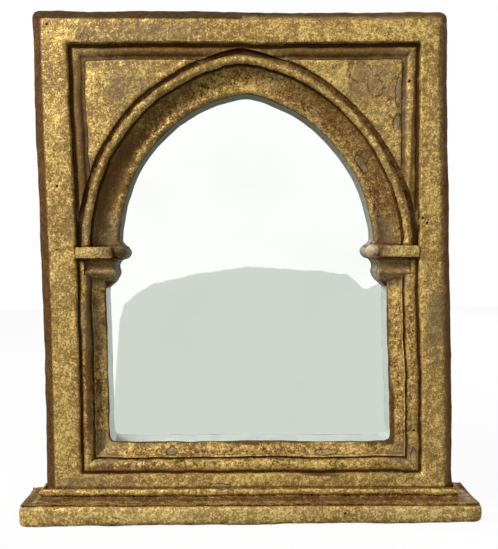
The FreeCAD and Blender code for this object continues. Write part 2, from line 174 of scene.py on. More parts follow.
def trace(name: str, places: Sequence[Vector]) -> Piece:
    """Draws a closed outline point by point and fills it.

    Args:
        name: Name of the new piece.
        places: Corners of the outline in order.

    Returns:
        The piece, left in edit mode with its one face selected.
    """
    deselect()
    bpy.ops.mesh.primitive_plane_add(size=MM)
    piece = named(name)
    bpy.ops.object.mode_set(mode="EDIT")
    bpy.ops.mesh.select_mode(type="VERT")
    bpy.ops.mesh.select_all(action="SELECT")
    bpy.ops.mesh.merge(type="CENTER")
    shift(places[0])
    for here, there in zip(places, places[1:]):
        step = tuple(there - here)
        bpy.ops.mesh.extrude_vertices_move(TRANSFORM_OT_translate={"value": step})
    bpy.ops.mesh.select_all(action="SELECT")
    bpy.ops.mesh.edge_face_add()
    return piece


def close_up(piece: Piece) -> None:
    """Merges doubles and turns all faces outwards.

    Args:
        piece: The piece to change.
    """
    edit(piece)
    bpy.ops.mesh.remove_doubles(threshold=TOUCH)
    bpy.ops.mesh.normals_make_consistent(inside=False)
    deselect()


def block(name: str, outline: Sequence[Pair], front: float, back: float) -> Piece:
    """Front-view outline drawn out between two depths.

    Args:
        name: Name of the new piece.
        outline: Corners as (x, z).
        front: y of the front.
        back: y of the back.

    Returns:
        The closed piece.
    """
    piece = trace(name, [Vector((x, front, z)) for x, z in outline])
    draw_out((0, back - front, 0))
    close_up(piece)
    return piece


def strip(name: str, profile: Sequence[Pair], place: Placer, along: Vector, pitch: float) -> Piece:
    """Profile drawn out along a straight line and ringed at an even pitch.

    Args:
        name: Name of the new piece.
        profile: Corners in the profile's own two directions.
        place: Puts a profile corner in the frame.
        along: Length and direction of the strip.
        pitch: Distance between rings.

    Returns:
        The closed strip.
    """
    piece = trace(name, [place(u, v) for u, v in profile])
    draw_out(along)
    direction = along.normalized()
    rounds = max(2, round(math.sqrt(along.length / pitch)))

    def runs_along(edge: Any) -> bool:
        """Whether a long edge follows the strip."""
        line = edge.verts[1].co - edge.verts[0].co
        return abs(line.normalized().dot(direction)) > PARALLEL and line.length > pitch

    for _ in range(2):
        pick("EDGE", runs_along)
        bpy.ops.mesh.subdivide(number_cuts=rounds - 1)
    close_up(piece)
    return piece


def turned(name: str, places: Sequence[Vector], centre: Vector, angle: float, steps: int) -> Piece:
    """Profile spun about an axis that runs front to back.

    Args:
        name: Name of the new piece.
        places: Corners of the profile in the frame.
        centre: Point on the axis.
        angle: Turn in radians.
        steps: Number of rings.

    Returns:
        The closed ring segment.
    """
    piece = trace(name, places)
    bpy.ops.mesh.spin(steps=steps, angle=angle, center=tuple(centre), axis=(0, 1, 0))
    close_up(piece)
    return piece


def saw(piece: Piece, place: Sequence[float], normal: Sequence[float]) -> None:
    """Cuts a piece by a plane, closes the cut and drops one side.

    Args:
        piece: The piece to cut.
        place: Point on the plane.
        normal: Direction of the side that is dropped.
    """
    edit(piece)
    bpy.ops.mesh.bisect(plane_co=tuple(place), plane_no=tuple(Vector(normal).normalized()),
                        use_fill=True, clear_outer=True, threshold=KERF)
    deselect()


def modify(piece: Piece, kind: str, **settings: Any) -> None:
    """Puts a modifier on a piece and applies it.

    Args:
        piece: The piece to change.
        kind: Blender's name of the modifier.
        settings: Values of the modifier.
    """
    take(piece)
    modifier = piece.modifiers.new(kind.lower(), kind)
    for key, value in settings.items():
        setattr(modifier, key, value)
    bpy.ops.object.modifier_apply(modifier=modifier.name)


def carve(piece: Piece, tool: Piece, operation: str = "DIFFERENCE") -> None:
    """Cuts, joins or intersects a piece with a tool, which is used up.

    Args:
        piece: The piece to change.
        tool: Closed mesh.
        operation: Boolean operation.
    """
    modify(piece, "BOOLEAN", object=tool, operation=operation, solver="EXACT")
    bpy.data.objects.remove(tool)


def drill(piece: Piece, start: Vector, along: Vector, radius: float) -> None:
    """Bores a round hole into a piece.

    Args:
        piece: The piece to bore.
        start: Middle of the hole's outer end.
        along: Its length and direction.
        radius: Its radius.
    """
    deselect()
    turn = along.to_track_quat("Z", "Y").to_euler()
    bpy.ops.mesh.primitive_cylinder_add(vertices=HOLE_FACETS, radius=radius, depth=along.length,
                                        location=start + along / 2, rotation=turn)
    carve(piece, named("bit"))


def soften_edges(piece: Piece, test: Callable[[Any], bool], width: float, segments: int) -> None:
    """Rounds chosen edges.

    Args:
        piece: The piece to change.
        test: Says whether an edge is taken.
        width: Width of the rounding on each side.
        segments: Number of steps.
    """
    edit(piece)
    pick("EDGE", test)
    bpy.ops.mesh.bevel(offset=width, segments=segments, profile=0.5, affect="EDGES")
    deselect()


def copy_of(piece: Piece, name: str) -> Piece:
    """Copy of a piece with its own mesh.

    Args:
        piece: The piece.
        name: Name of the copy.

    Returns:
        The copy.
    """
    twin = piece.copy()
    twin.data = piece.data.copy()
    twin.name = name
    twin.data.name = name
    bpy.context.scene.collection.objects.link(twin)
    return twin


def points_of(piece: Piece) -> np.ndarray:
    """Vertices of a piece as rows.

    Args:
        piece: The piece.

    Returns:
        A row of x, y and z for each vertex.
    """
    flat = np.zeros(len(piece.data.vertices) * 3, np.float32)
    piece.data.vertices.foreach_get("co", flat)
    return flat.reshape(-1, 3).astype(float)


def arc(start: Pair, end: Pair, share: float, steps: int = 10) -> list[Pair]:
    """Points of an arc after its start.

    Args:
        start: First point.
        end: Last point.
        share: Sag to the left of the chord as a share of its length.
        steps: Number of points.

    Returns:
        Points up to and with the end.
    """
    du, dv = end[0] - start[0], end[1] - start[1]
    turn = 4 * math.atan(2 * share)
    points = []
    for step in range(1, steps + 1):
        t = step / steps
        swing = turn * (t - 0.5)
        reach = math.sin(swing) / math.sin(turn / 2) / 2 + 0.5
        sag = (math.cos(swing) - math.cos(turn / 2)) / math.sin(turn / 2) / 2
        points.append((start[0] + du * reach - dv * sag, start[1] + dv * reach + du * sag))
    return points


def beading(start: float, width: float, foot: float, crown: float, steps: int = 12) -> list[Pair]:
    """Round bead of a profile, from foot to foot.

    Args:
        start: Distance of its first foot.
        width: Its width.
        foot: Depth of both feet.
        crown: Depth of its crown.
        steps: Points after the first.

    Returns:
        Points as (distance, depth).
    """
    first = (start, foot)
    return [first] + arc(first, (start + width, foot), (crown - foot) / width, steps)


def eased(profile: Sequence[Pair], radius: float, steps: int = 3) -> list[Pair]:
    """Profile with its sharp corners worn round.

    Args:
        profile: Closed profile.
        radius: Wear on each side of a corner.
        steps: Points of each worn corner.

    Returns:
        The new profile.
    """
    made: list[Pair] = []
    count = len(profile)
    for index, corner in enumerate(profile):
        here = Vector(corner)
        back = Vector(profile[index - 1]) - here
        ahead = Vector(profile[(index + 1) % count]) - here
        short = min(back.length, ahead.length) < TINY
        if short or abs(back.angle(ahead) - math.pi) < STRAIGHT:
            made.append(corner)
            continue
        first = here + back.normalized() * min(radius, WORN_SHARE * back.length)
        last = here + ahead.normalized() * min(radius, WORN_SHARE * ahead.length)
        for step in range(steps + 1):
            t = step / steps
            made.append(tuple(first.lerp(here, t).lerp(here.lerp(last, t), t)))
    return made


@dataclass(frozen=True)
class Layout:
    """Main lines of the frame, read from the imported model, in metres."""

    face_y: float
    back_y: float
    seat_y: float
    body_half: float
    stile_inner: float
    stile_inner_top: float
    sight_half: float
    sill_sight: float
    plinth_top: float
    base_top: float
    sill_foot: float
    neck_foot: float
    abacus_foot: float
    springing: float
    rail_under: float
    frame_top: float
    arch_centre: float
    hood_radius: float
    archivolt_radius: float
    glue_line: float = 0.1 * MM

    @classmethod
    def from_frame(cls) -> "Layout":
        """Reads the lines from the boxes of the CAD nodes.

        Returns:
            The layout.
        """
        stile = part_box("stile_right")
        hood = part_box("hood_roll_right")
        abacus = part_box("abacus_right")
        springing = abacus[1].z
        rise = hood[1].z - springing
        reach = hood[1].x
        total = rise ** 2 / reach
        hood_radius = (total + reach) / 2
        arch_centre = (total - reach) / 2
        return cls(
            face_y=stile[0].y,
            back_y=stile[1].y,
            seat_y=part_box("mirror_glass")[0].y,
            body_half=stile[1].x,
            stile_inner=stile[0].x,
            stile_inner_top=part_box("spandrel_bead_side_right")[1].x,
            sight_half=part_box("jamb_cove_right")[0].x,
            sill_sight=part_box("sill_cove")[1].z,
            plinth_top=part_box("plinth")[1].z,
            base_top=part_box("base_moulding_front")[1].z,
            sill_foot=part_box("sill_bead")[0].z,
            neck_foot=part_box("capital_neck_right")[0].z,
            abacus_foot=abacus[0].z,
            springing=springing,
            rail_under=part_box("spandrel_bead_top_right")[1].z,
            frame_top=stile[1].z,
            arch_centre=arch_centre,
            hood_radius=hood_radius,
            archivolt_radius=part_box("archivolt_right")[1].x + cls.glue_line + arch_centre,
        )

    def at_depth(self, depth: float) -> float:
        """Depth behind the flat front of the stiles, as y."""
        return self.face_y + depth

    def arch_axis(self, side: Side) -> Vector:
        """Point on the axis that one half of the arch is struck from."""
        return Vector((-side.value * self.arch_centre, self.face_y, self.springing))


@dataclass(frozen=True)
class Waver:
    """One size of unevenness in a hand-finished surface."""

    size: float
    depth: float

    def apply(self, piece: Piece) -> None:
        """Pushes the surface about by soft noise that is the same for every piece.

        Args:
            piece: The piece to change.
        """
        name = f"waver_{round(self.size / MM)}"
        texture = bpy.data.textures.get(name) or bpy.data.textures.new(name, "CLOUDS")
        texture.noise_scale = self.size
        texture.noise_depth = 1
        texture.cloud_type = "COLOR"
        modify(piece, "DISPLACE", texture=texture, direction="RGB_TO_XYZ", texture_coords="LOCAL",
               mid_level=0.5, strength=2 * self.depth)


@dataclass(frozen=True)
class HandFinish:
    """Unevenness of all gilded pieces: a frame a little out of square, then broad to fine lumps."""

    layout: Layout
    lean: float = -0.012
    level: float = 150 * MM
    right_spread: float = 2.2 * MM
    spread_end: float = 7.0 * MM
    spread_rise: float = 4.0 * MM
    drops: tuple[Pair, ...] = (
        (0, 0), (12, 0.4), (17, 2.2), (21, 1.9), (29.4, 2.2), (38, 1.0), (46, 0.3), (60, 0),
    )
    base_drop: float = 2.0 * MM
    base_tilt: float = 0.0082
    tilt_fades: Pair = (46 * MM, 120 * MM)
    back_gap: float = 0.05 * MM
    opening_round: float = 3.5 * MM
    opening_fade: float = 5.0 * MM
    wavers: tuple[Waver, ...] = (
        Waver(70 * MM, 0.9 * MM),
        Waver(18 * MM, 0.5 * MM),
        Waver(6 * MM, 0.22 * MM),
    )

    def apply(self, piece: Piece) -> None:
        """Applies every size of unevenness in turn."""
        for waver in self.wavers:
            waver.apply(piece)

    def round_opening(self, places: np.ndarray) -> None:
        """Rounds the lower corners of the opening, less and less towards the beads.

        Args:
            places: Points of a piece, which are moved.
        """
        lay = self.layout
        centre_x = lay.sight_half - self.opening_round
        centre_z = lay.sill_sight + self.opening_round
        across = np.abs(places[:, 0]) - centre_x
        below = centre_z - places[:, 2]
        square = np.maximum(across, below)
        near = (across > 0) & (below > 0) & (square < self.opening_round + self.opening_fade)
        across, below, square = across[near], below[near], square[near]
        hold = np.clip(1 - (square - self.opening_round) / self.opening_fade, 0, 1)
        share = 1 + (square / np.hypot(across, below) - 1) * hold
        places[near, 0] = np.sign(places[near, 0]) * (centre_x + across * share)
        places[near, 2] = centre_z - below * share

    def rack(self, piece: Piece) -> None:
        """Leans a piece, spreads the strips on the right, lowers the sill and flattens the back.

        Args:
            piece: The piece to change.
        """
        lay = self.layout
        places = points_of(piece)
        self.round_opening(places)
        share = np.clip((lay.back_y - places[:, 1]) / (lay.back_y - lay.seat_y), 0, 1)
        stations = (lay.sight_half, lay.stile_inner, lay.body_half - self.spread_end)
        spread = np.interp(places[:, 0], stations, (0, self.right_spread, 0))
        spread *= np.clip((places[:, 2] - lay.base_top) / self.spread_rise, 0, 1)
        heights, falls = (np.array(column) * MM for column in zip(*self.drops))
        tilted = np.interp(places[:, 2], (0, lay.plinth_top) + self.tilt_fades, (0, 1, 1, 0))
        fall = np.interp(places[:, 2], heights, falls) + self.base_tilt * places[:, 0] * tilted
        places[:, 0] += (self.lean * (places[:, 2] - self.level) + spread) * share
        places[:, 2] -= fall * share
        upper = places[:, 2] > lay.sill_foot
        places[upper, 1] = np.minimum(places[upper, 1], lay.back_y - self.back_gap)
        piece.data.vertices.foreach_set("co", places.astype(np.float32).ravel())
        piece.data.update()


@dataclass(frozen=True)
class PinHole:
    """Hole of a sunk pin, at a place of the front view and a depth of the surface."""

    x: float
    z: float
    depth: float
    radius: float = 0.85 * MM
    reach: float = 2.4 * MM

    def bore(self, piece: Piece, layout: Layout) -> None:
        """Drills the hole from the front."""
        start = Vector((self.x, layout.at_depth(self.depth) - self.reach, self.z))
        drill(piece, start, Vector((0, 2 * self.reach, 0)), self.radius)


PIN_HOLES = {
    "stile_left": (PinHole(-116.8 * MM, 298.4 * MM, 0), PinHole(-112.8 * MM, 202.1 * MM, 0),
                   PinHole(-114.0 * MM, 164.0 * MM, 0, 0.6 * MM)),
    "stile_right": (PinHole(104.7 * MM, 181.8 * MM, 0), PinHole(107.7 * MM, 178.8 * MM, 0, MM)),
    "spandrel_bead_side_right": (PinHole(98.5 * MM, 264.5 * MM, 2.6 * MM),),
    "archivolt_right": (PinHole(92.7 * MM, 175.8 * MM, 6.5 * MM, 0.6 * MM),),
    "jamb_bead_right": (PinHole(98.2 * MM, 53.7 * MM, 2.0 * MM),),
    "jamb_cove_left": (PinHole(-92.0 * MM, 64.5 * MM, 7.0 * MM, 0.7 * MM),),
    "plinth": (PinHole(55.3 * MM, 7.4 * MM, -13.2 * MM),),
}


class Workshop:
    """Keeps the finished pieces and what they stand for."""

    CRISP = math.radians(40)

    def __init__(self, finish: HandFinish) -> None:
        """Starts with an empty shelf."""
        self.finish = finish
        self.pieces: list[Piece] = []

    def hand_over(self, piece: Piece, node: str) -> None:
        """Drills, leans and smooths a finished piece and lets it stand for its CAD node.

        Args:
            piece: The finished piece.
            node: CAD node that it replaces.
        """
        for hole in PIN_HOLES.get(node, ()):
            hole.bore(piece, self.finish.layout)
        self.finish.rack(piece)
        take(piece)
        bpy.ops.object.shade_smooth_by_angle(angle=self.CRISP)
        deselect()
        piece.name = f"{node}_gilt"
        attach(piece, BODY)
        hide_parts(node)
        self.pieces.append(piece)
        LOG.info("%s: %d faces", piece.name, len(piece.data.polygons))

    def dress(self, material: Material) -> None:
        """Puts one material on every finished piece.

        Args:
            material: The material.
        """
        for piece in self.pieces:
            piece.data.materials.clear()
            piece.data.materials.append(material)


# Sub-assemblies


@dataclass
class FrameMembers:
    """Stiles and rails, shaped as one blank and then sawn apart where they are joined."""

    layout: Layout
    bevel_width: float = 7.0 * MM
    bevel_depth: float = 8.0 * MM
    corner_round: float = 4.0 * MM
    face_arris: float = 1.3 * MM
    rim_arris: float = 2.2 * MM
    back_arris: float = 0.8 * MM
    housing_depth: float = 7.2 * MM
    mesh_size: float = 0.9 * MM
    overrun: float = 2.0 * MM
    joint_inset: float = 1.0 * MM
    left_slant: float = 2.6 * MM
    slant_start: float = 0.6
    top_fall: float = 0.9 * MM

    def outline(self) -> list[Pair]:
        """Front face of the blank, with its two upper corners rounded.

        Returns:
            Corners as (x, z).
        """
        lay = self.layout
        half = lay.body_half - self.bevel_width
        top = lay.frame_top - self.bevel_width
        turn = self.corner_round
        quarter = math.tan(math.pi / 8) / 2
        far, high, low = -half - self.left_slant, top + self.top_fall, top - self.top_fall
        left = [(-half, self.slant_start * lay.springing), (far, high - turn)]
        left += arc(left[-1], (far + turn, high), quarter, 5)
        right = [(half - turn, low)]
        right += arc(right[-1], (half, low - turn), quarter, 5)
        return [(-half, lay.plinth_top)] + left + right + [(half, lay.plinth_top)]

    def blank(self) -> Piece:
        """Whole outer frame with bevelled sides and top.

        Returns:
            The blank, with an even mesh.
        """
        lay = self.layout
        piece = trace("blank", [Vector((x, lay.face_y, z)) for x, z in self.outline()])
        draw_out((0, self.bevel_depth, 0))
        rim_y = lay.at_depth(self.bevel_depth)
        high = lay.springing
        for sign in (-1, 1):
            pick("VERT", lambda v: abs(v.co.y - rim_y) < MM and v.co.x * sign > 0)
            shift((sign * self.bevel_width, 0, 0))
        pick("VERT", lambda v: abs(v.co.y - rim_y) < MM and v.co.z > high)
        shift((0, 0, self.bevel_width))
        pick("FACE", lambda f: all(abs(v.co.y - rim_y) < MM for v in f.verts))
        draw_out((0, lay.back_y - rim_y, 0))
        close_up(piece)
        self.open_up(piece)
        self.round_arrises(piece)
        modify(piece, "REMESH", mode="VOXEL", voxel_size=self.mesh_size)
        return piece

    def open_up(self, piece: Piece) -> None:
        """Cuts the opening, wider in front where the bead strips are let in.

        Args:
            piece: The blank.
        """
        lay = self.layout
        front = lay.face_y - self.overrun
        inner, upper = lay.stile_inner, lay.stile_inner_top
        straight = [(-inner, lay.sill_foot), (inner, lay.sill_foot),
                    (inner, lay.rail_under), (-inner, lay.rail_under)]
        leaning = [(-inner, lay.springing), (inner, lay.springing),
                   (upper, lay.rail_under), (-upper, lay.rail_under)]
        carve(piece, block("opening", straight, front, lay.back_y + self.overrun))
        carve(piece, block("housing", leaning, front, lay.at_depth(self.housing_depth)))

    def round_arrises(self, piece: Piece) -> None:
        """Rounds the front arrises, the outer rim and the back edges.

        Args:
            piece: The blank.
        """
        lay = self.layout
        low = lay.plinth_top + self.overrun
        levels = ((lay.face_y, self.face_arris), (lay.at_depth(self.bevel_depth), self.rim_arris),
                  (lay.back_y, self.back_arris))
        for y, width in levels:
            def on_level(edge: Any, level: float = y) -> bool:
                """Whether a sharp edge lies at this depth, clear of the plinth."""
                flat = all(abs(v.co.y - level) < TOUCH for v in edge.verts)
                return flat and max(v.co.z for v in edge.verts) > low and edge.calc_face_angle(0) > SHARP
            soften_edges(piece, on_level, width, 3)

    def build(self, shop: Workshop) -> None:
        """Makes the four members.

        Args:
            shop: Workshop that takes the finished pieces.
        """
        lay = self.layout
        joint = lay.stile_inner - self.joint_inset
        blank = self.blank()
        shop.finish.apply(blank)
        for side in Side:
            name = f"stile_{side.word}"
            stile = copy_of(blank, name)
            saw(stile, (side.value * joint, 0, 0), (-side.value, 0, 0))
            shop.hand_over(stile, name)
        for name, sign in (("rail_top", -1), ("rail_bottom", 1)):
            rail = copy_of(blank, name)
            for side in Side:
                saw(rail, (side.value * joint, 0, 0), (side.value, 0, 0))
            saw(rail, (0, 0, lay.springing), (0, 0, sign))
            shop.hand_over(rail, name)
        bpy.data.objects.remove(blank)


@dataclass
class GlassSurround:
    """Bead and cove strips beside and under the glass."""

    layout: Layout
    groove: float = 1.0 * MM
    groove_depth: float = 3.6 * MM
    bead: float = 6.4 * MM
    bead_depth: float = 1.5 * MM
    quirk: float = 1.4 * MM
    quirk_depth: float = 5.2 * MM
    cove: float = 7.8 * MM
    cove_depth: float = 3.8 * MM
    cove_sag: float = 0.11
    lip: float = 2.0 * MM
    lip_depth: float = 8.4 * MM
    lip_rise: float = 0.7
    rebate: float = 2.4 * MM
    wear: float = 0.5 * MM
    pitch: float = 1.3 * MM
    under_neck: float = 8.6 * MM

    @property
    def bead_strip(self) -> float:
        """Width of the outer strip."""
        return self.groove + self.bead + self.quirk

    def bead_profile(self) -> list[Pair]:
        """Groove, bead and quirk.

        Returns:
            Corners as (distance in from the stile, depth).
        """
        seat = self.layout.seat_y - self.layout.face_y
        points = [(0, seat), (0, self.groove_depth)]
        points += beading(self.groove, self.bead, self.groove_depth, self.bead_depth)
        points += [(self.groove + self.bead, self.quirk_depth), (self.bead_strip, self.quirk_depth),
                   (self.bead_strip, seat)]
        return eased(points, self.wear)

    def cove_profile(self) -> list[Pair]:
        """Cove and rounded lip.

        Returns:
            Corners as (distance in from the bead strip, depth).
        """
        seat = self.layout.seat_y - self.layout.face_y
        start = (0, self.cove_depth)
        end = (self.cove - self.lip, self.lip_depth)
        wall_top = (self.cove, self.lip_depth + self.lip * self.lip_rise)
        points = [(0, seat), start]
        points += arc(start, end, self.cove_sag, 12)
        points += arc(end, wall_top, -self.lip_rise / 3, 5)
        points += [(self.cove - self.rebate, seat)]
        return eased(points, self.wear)

    def jamb(self, side: Side, offset: float, profile: list[Pair], top: float, name: str) -> Piece:
        """Upright strip, mitred at its foot.

        Args:
            side: Hand of the strip.
            offset: Distance of the strip from the stile.
            profile: Its profile.
            top: Height of its upper end.
            name: Name of the piece.

        Returns:
            The strip.
        """
        lay = self.layout
        edge = lay.stile_inner - offset
        piece = strip(name, profile,
                      lambda u, d: Vector((side.value * (edge - u), lay.at_depth(d), lay.sill_foot)),
                      Vector((0, 0, top - lay.sill_foot)), self.pitch)
        saw(piece, (side.value * lay.stile_inner, 0, lay.sill_foot), (-side.value, 0, -1))
        return piece

    def sill(self, offset: float, profile: list[Pair], name: str) -> Piece:
        """Level strip, mitred at both ends.

        Args:
            offset: Distance of the strip from the foot.
            profile: Its profile.
            name: Name of the piece.

        Returns:
            The strip.
        """
        lay = self.layout
        foot = lay.sill_foot + offset
        piece = strip(name, profile,
                      lambda u, d: Vector((-lay.stile_inner, lay.at_depth(d), foot + u)),
                      Vector((2 * lay.stile_inner, 0, 0)), self.pitch)
        for side in Side:
            saw(piece, (side.value * lay.stile_inner, 0, lay.sill_foot), (side.value, 0, 1))
        return piece

    def build(self, shop: Workshop) -> None:
        """Makes the six strips.

        Args:
            shop: Workshop that takes the finished pieces.
        """
        lay = self.layout
        kinds = (("bead", 0.0, self.bead_profile(), lay.abacus_foot),
                 ("cove", self.bead_strip, self.cove_profile(), lay.neck_foot + self.under_neck))
        for kind, offset, profile, top in kinds:
            for side in Side:
                name = f"jamb_{kind}_{side.word}"
                piece = self.jamb(side, offset, profile, top, name)
                if kind == "bead":
                    self.fit_to_neck(piece, side)
                shop.finish.apply(piece)
                shop.hand_over(piece, name)
            name = f"sill_{kind}"
            piece = self.sill(offset, profile, name)
            shop.finish.apply(piece)
            shop.hand_over(piece, name)

    def fit_to_neck(self, piece: Piece, side: Side) -> None:
        """Cuts the bead strip away where the neck of the capital stands.

        Args:
            piece: The strip.
            side: Its hand.
        """
        lay = self.layout
        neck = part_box(f"capital_neck_{side.word}")
        outer = neck[0].x if side is Side.LEFT else neck[1].x
        inner = side.value * lay.sight_half
        foot = lay.neck_foot + self.under_neck
        outline = [(outer, foot), (outer, lay.springing), (inner, lay.springing), (inner, foot)]
        carve(piece, block("neck_room", outline, lay.face_y - MM, lay.seat_y + MM))


@dataclass
class ArchWork:
    """Spandrels with their bead strips, and the hood roll and band of the pointed arch."""

    layout: Layout
    field_depth: float = 3.2 * MM
    bed_depth: float = 7.2 * MM
    groove: float = 1.8 * MM
    groove_depth: float = 4.3 * MM
    bead: float = 5.5 * MM
    bead_depth: float = 2.4 * MM
    inner_groove: float = 2.3 * MM
    channel: float = 3.4 * MM
    channel_depth: float = 5.2 * MM
    roll: float = 4.1 * MM
    roll_depth: float = 0.6 * MM
    roll_foot: float = 4.6 * MM
    band: float = 17.0 * MM
    band_quirk: float = 1.6 * MM
    band_quirk_depth: float = 6.4 * MM
    band_depth: float = 5.6 * MM
    band_sag: float = 0.15
    band_lip: float = 3.0 * MM
    band_lip_depth: float = 8.0 * MM
    lip_rise: float = 0.7
    flare: float = 4.6 * MM
    lumps: Waver = Waver(4.5 * MM, 0.5 * MM)
    apex_round: float = 8.0 * MM
    apex_slope: float = 0.17
    apex_overrun: float = 6.0
    wear: float = 0.5 * MM
    field_arris: float = 0.7 * MM
    pitch: float = 1.3 * MM
    mesh_size: float = 0.9 * MM
    past_middle: float = 3.0 * MM
    disc_facets: int = 240
    disc_depth: float = 0.1

    @property
    def strip_width(self) -> float:
        """Width of a spandrel bead strip."""
        return self.groove + self.bead + self.inner_groove

    def edge_x(self, z: float, inset: float) -> float:
        """Distance of the leaning side of the spandrel from the middle at a height.

        Args:
            z: The height.
            inset: Distance in from that side.

        Returns:
            The distance, less the inset.
        """
        lay = self.layout
        share = (z - lay.springing) / (lay.rail_under - lay.springing)
        return lay.stile_inner + (lay.stile_inner_top - lay.stile_inner) * share - inset

    def disc(self, side: Side, radius: float) -> Piece:
        """Round tool about the axis of one half of the arch.

        Args:
            side: Hand of the half.
            radius: Radius of the tool.

        Returns:
            The tool.
        """
        deselect()
        bpy.ops.mesh.primitive_cylinder_add(
            vertices=self.disc_facets, radius=radius, depth=self.disc_depth,
            location=self.layout.arch_axis(side), rotation=(math.pi / 2, 0, 0))
        return named("disc")

    def spandrel(self, side: Side, name: str) -> Piece:
        """Board with a raised field between the strips and the arch.

        Args:
            side: Hand of the board.
            name: Name of the piece.

        Returns:
            The board.
        """
        lay = self.layout
        hand = side.value
        inset = self.strip_width
        under = lay.rail_under - inset
        past = -hand * self.past_middle
        bed = [(hand * lay.stile_inner, lay.springing), (hand * lay.stile_inner, lay.rail_under),
               (past, lay.rail_under), (past, lay.springing)]
        field = [(hand * self.edge_x(lay.springing, inset), lay.springing),
                 (hand * self.edge_x(under, inset), under), (past, under), (past, lay.springing)]
        board = block(name, bed, lay.at_depth(self.bed_depth), lay.seat_y)
        carve(board, self.disc(side, lay.archivolt_radius))
        raised = block("field", field, lay.at_depth(self.field_depth), lay.at_depth(self.bed_depth + MM))
        carve(raised, self.disc(side, lay.hood_radius))
        front = lay.at_depth(self.field_depth)
        soften_edges(raised, lambda e: all(abs(v.co.y - front) < TOUCH for v in e.verts)
                     and e.calc_face_angle(0) > SHARP, self.field_arris, 3)
        carve(board, raised, "UNION")
        modify(board, "REMESH", mode="VOXEL", voxel_size=self.mesh_size)
        saw(board, (0, 0, 0), (-hand, 0, 0))
        return board

    def bead_profile(self) -> list[Pair]:
        """Groove, bead and groove.

        Returns:
            Corners as (distance in, depth).
        """
        points = [(0, self.bed_depth), (0, self.groove_depth)]
        points += beading(self.groove, self.bead, self.groove_depth, self.bead_depth)
        points += [(self.strip_width, self.groove_depth), (self.strip_width, self.bed_depth)]
        return eased(points, self.wear)

    def bead_strips(self, side: Side) -> dict[str, Piece]:
        """Side and top strip of one spandrel, mitred together and scribed to the hood.

        Args:
            side: Hand of the spandrel.

        Returns:
            Strips by node name.
        """
        lay = self.layout
        hand = side.value
        inset = self.strip_width
        profile = self.bead_profile()
        foot = lay.springing - MM
        head = lay.rail_under + MM
        upright = strip(
            "upright", profile,
            lambda u, d: Vector((hand * (self.edge_x(foot, 0) - u), lay.at_depth(d), foot)),
            Vector((hand * (self.edge_x(head, 0) - self.edge_x(foot, 0)), 0, head - foot)), self.pitch)
        far = hand * (lay.stile_inner_top + MM)
        level = strip(
            "level", profile, lambda u, d: Vector((far, lay.at_depth(d), lay.rail_under - u)),
            Vector((-far, 0, 0)), self.pitch)
        corner = Vector((hand * lay.stile_inner_top, 0, lay.rail_under))
        inner = Vector((hand * self.edge_x(lay.rail_under - inset, inset), 0, lay.rail_under - inset))
        mitre = inner - corner
        up = Vector((-mitre.z, 0, mitre.x))
        if up.z < 0:
            up = -up
        saw(upright, corner, up)
        saw(upright, (0, 0, lay.springing), (0, 0, -1))
        saw(level, corner, -up)
        made = {f"spandrel_bead_side_{side.word}": upright, f"spandrel_bead_top_{side.word}": level}
        for piece in made.values():
            carve(piece, self.disc(side, lay.hood_radius + lay.glue_line))
            close_up(piece)
        return made

    def hood_profile(self) -> list[Pair]:
        """Channel and roll.

        Returns:
            Corners as (distance in from the outer radius, depth).
        """
        points = [(0, self.bed_depth), (0, self.channel_depth), (self.channel, self.channel_depth)]
        points += beading(self.channel, self.roll, self.roll_foot, self.roll_depth, 14)
        points += [(self.channel + self.roll, self.bed_depth)]
        return eased(points, self.wear)

    def band_profile(self) -> list[Pair]:
        """Quirk, cove and rounded lip.

        Returns:
            Corners as (distance in from the outer radius, depth).
        """
        lay = self.layout
        seat = lay.seat_y - lay.face_y
        width = self.band - lay.glue_line
        start = (self.band_quirk, self.band_depth)
        end = (width - self.band_lip, self.band_lip_depth)
        wall_top = (width, self.band_lip_depth + self.band_lip * self.lip_rise)
        points = [(0, seat), (0, self.band_quirk_depth)]
        points += [(self.band_quirk, self.band_quirk_depth), start]
        points += arc(start, end, self.band_sag, 16)
        points += arc(end, wall_top, -self.lip_rise / 3, 6)
        points += [(width, seat)]
        return eased(points, self.wear)

    def half_ring(self, side: Side, profile: list[Pair], radius: float, name: str) -> Piece:
        """Profile turned round one half of the arch, cut at the apex.

        Args:
            side: Hand of the half.
            profile: Its profile.
            radius: Outer radius.
            name: Name of the piece.

        Returns:
            The half ring.
        """
        lay = self.layout
        hand = side.value
        axis = lay.arch_axis(side)
        start = radius - lay.arch_centre
        apex = math.acos(lay.arch_centre / radius) + math.radians(self.apex_overrun)
        steps = round(apex * radius / self.pitch)
        places = [Vector((hand * (start - u), lay.at_depth(d), lay.springing)) for u, d in profile]
        ring = turned(name, places, axis, hand * apex, steps)
        saw(ring, (0, 0, 0), (-hand, 0, 0))
        return ring

    def flare_foot(self, ring: Piece, side: Side) -> None:
        """Draws the inner edge of the band out over the capital, as the plaster runs there.

        Args:
            ring: Half of the band.
            side: Its hand.
        """
        lay = self.layout
        sight = lay.archivolt_radius - self.band - lay.arch_centre
        for vertex in ring.data.vertices:
            lift = (vertex.co.z - lay.springing) / self.flare
            near = 1 - (abs(vertex.co.x) - sight) / self.flare
            if 0 <= lift < 1 and near > 0:
                vertex.co.x -= side.value * self.flare * (1 - lift) ** 2 * min(near, 1)

    def round_apex(self, ring: Piece) -> None:
        """Rounds the point of the arch a little.

        Args:
            ring: Half of the hood or of the band.
        """
        for vertex in ring.data.vertices:
            across = abs(vertex.co.x)
            vertex.co.z -= self.apex_slope * (math.hypot(across, self.apex_round) - across)

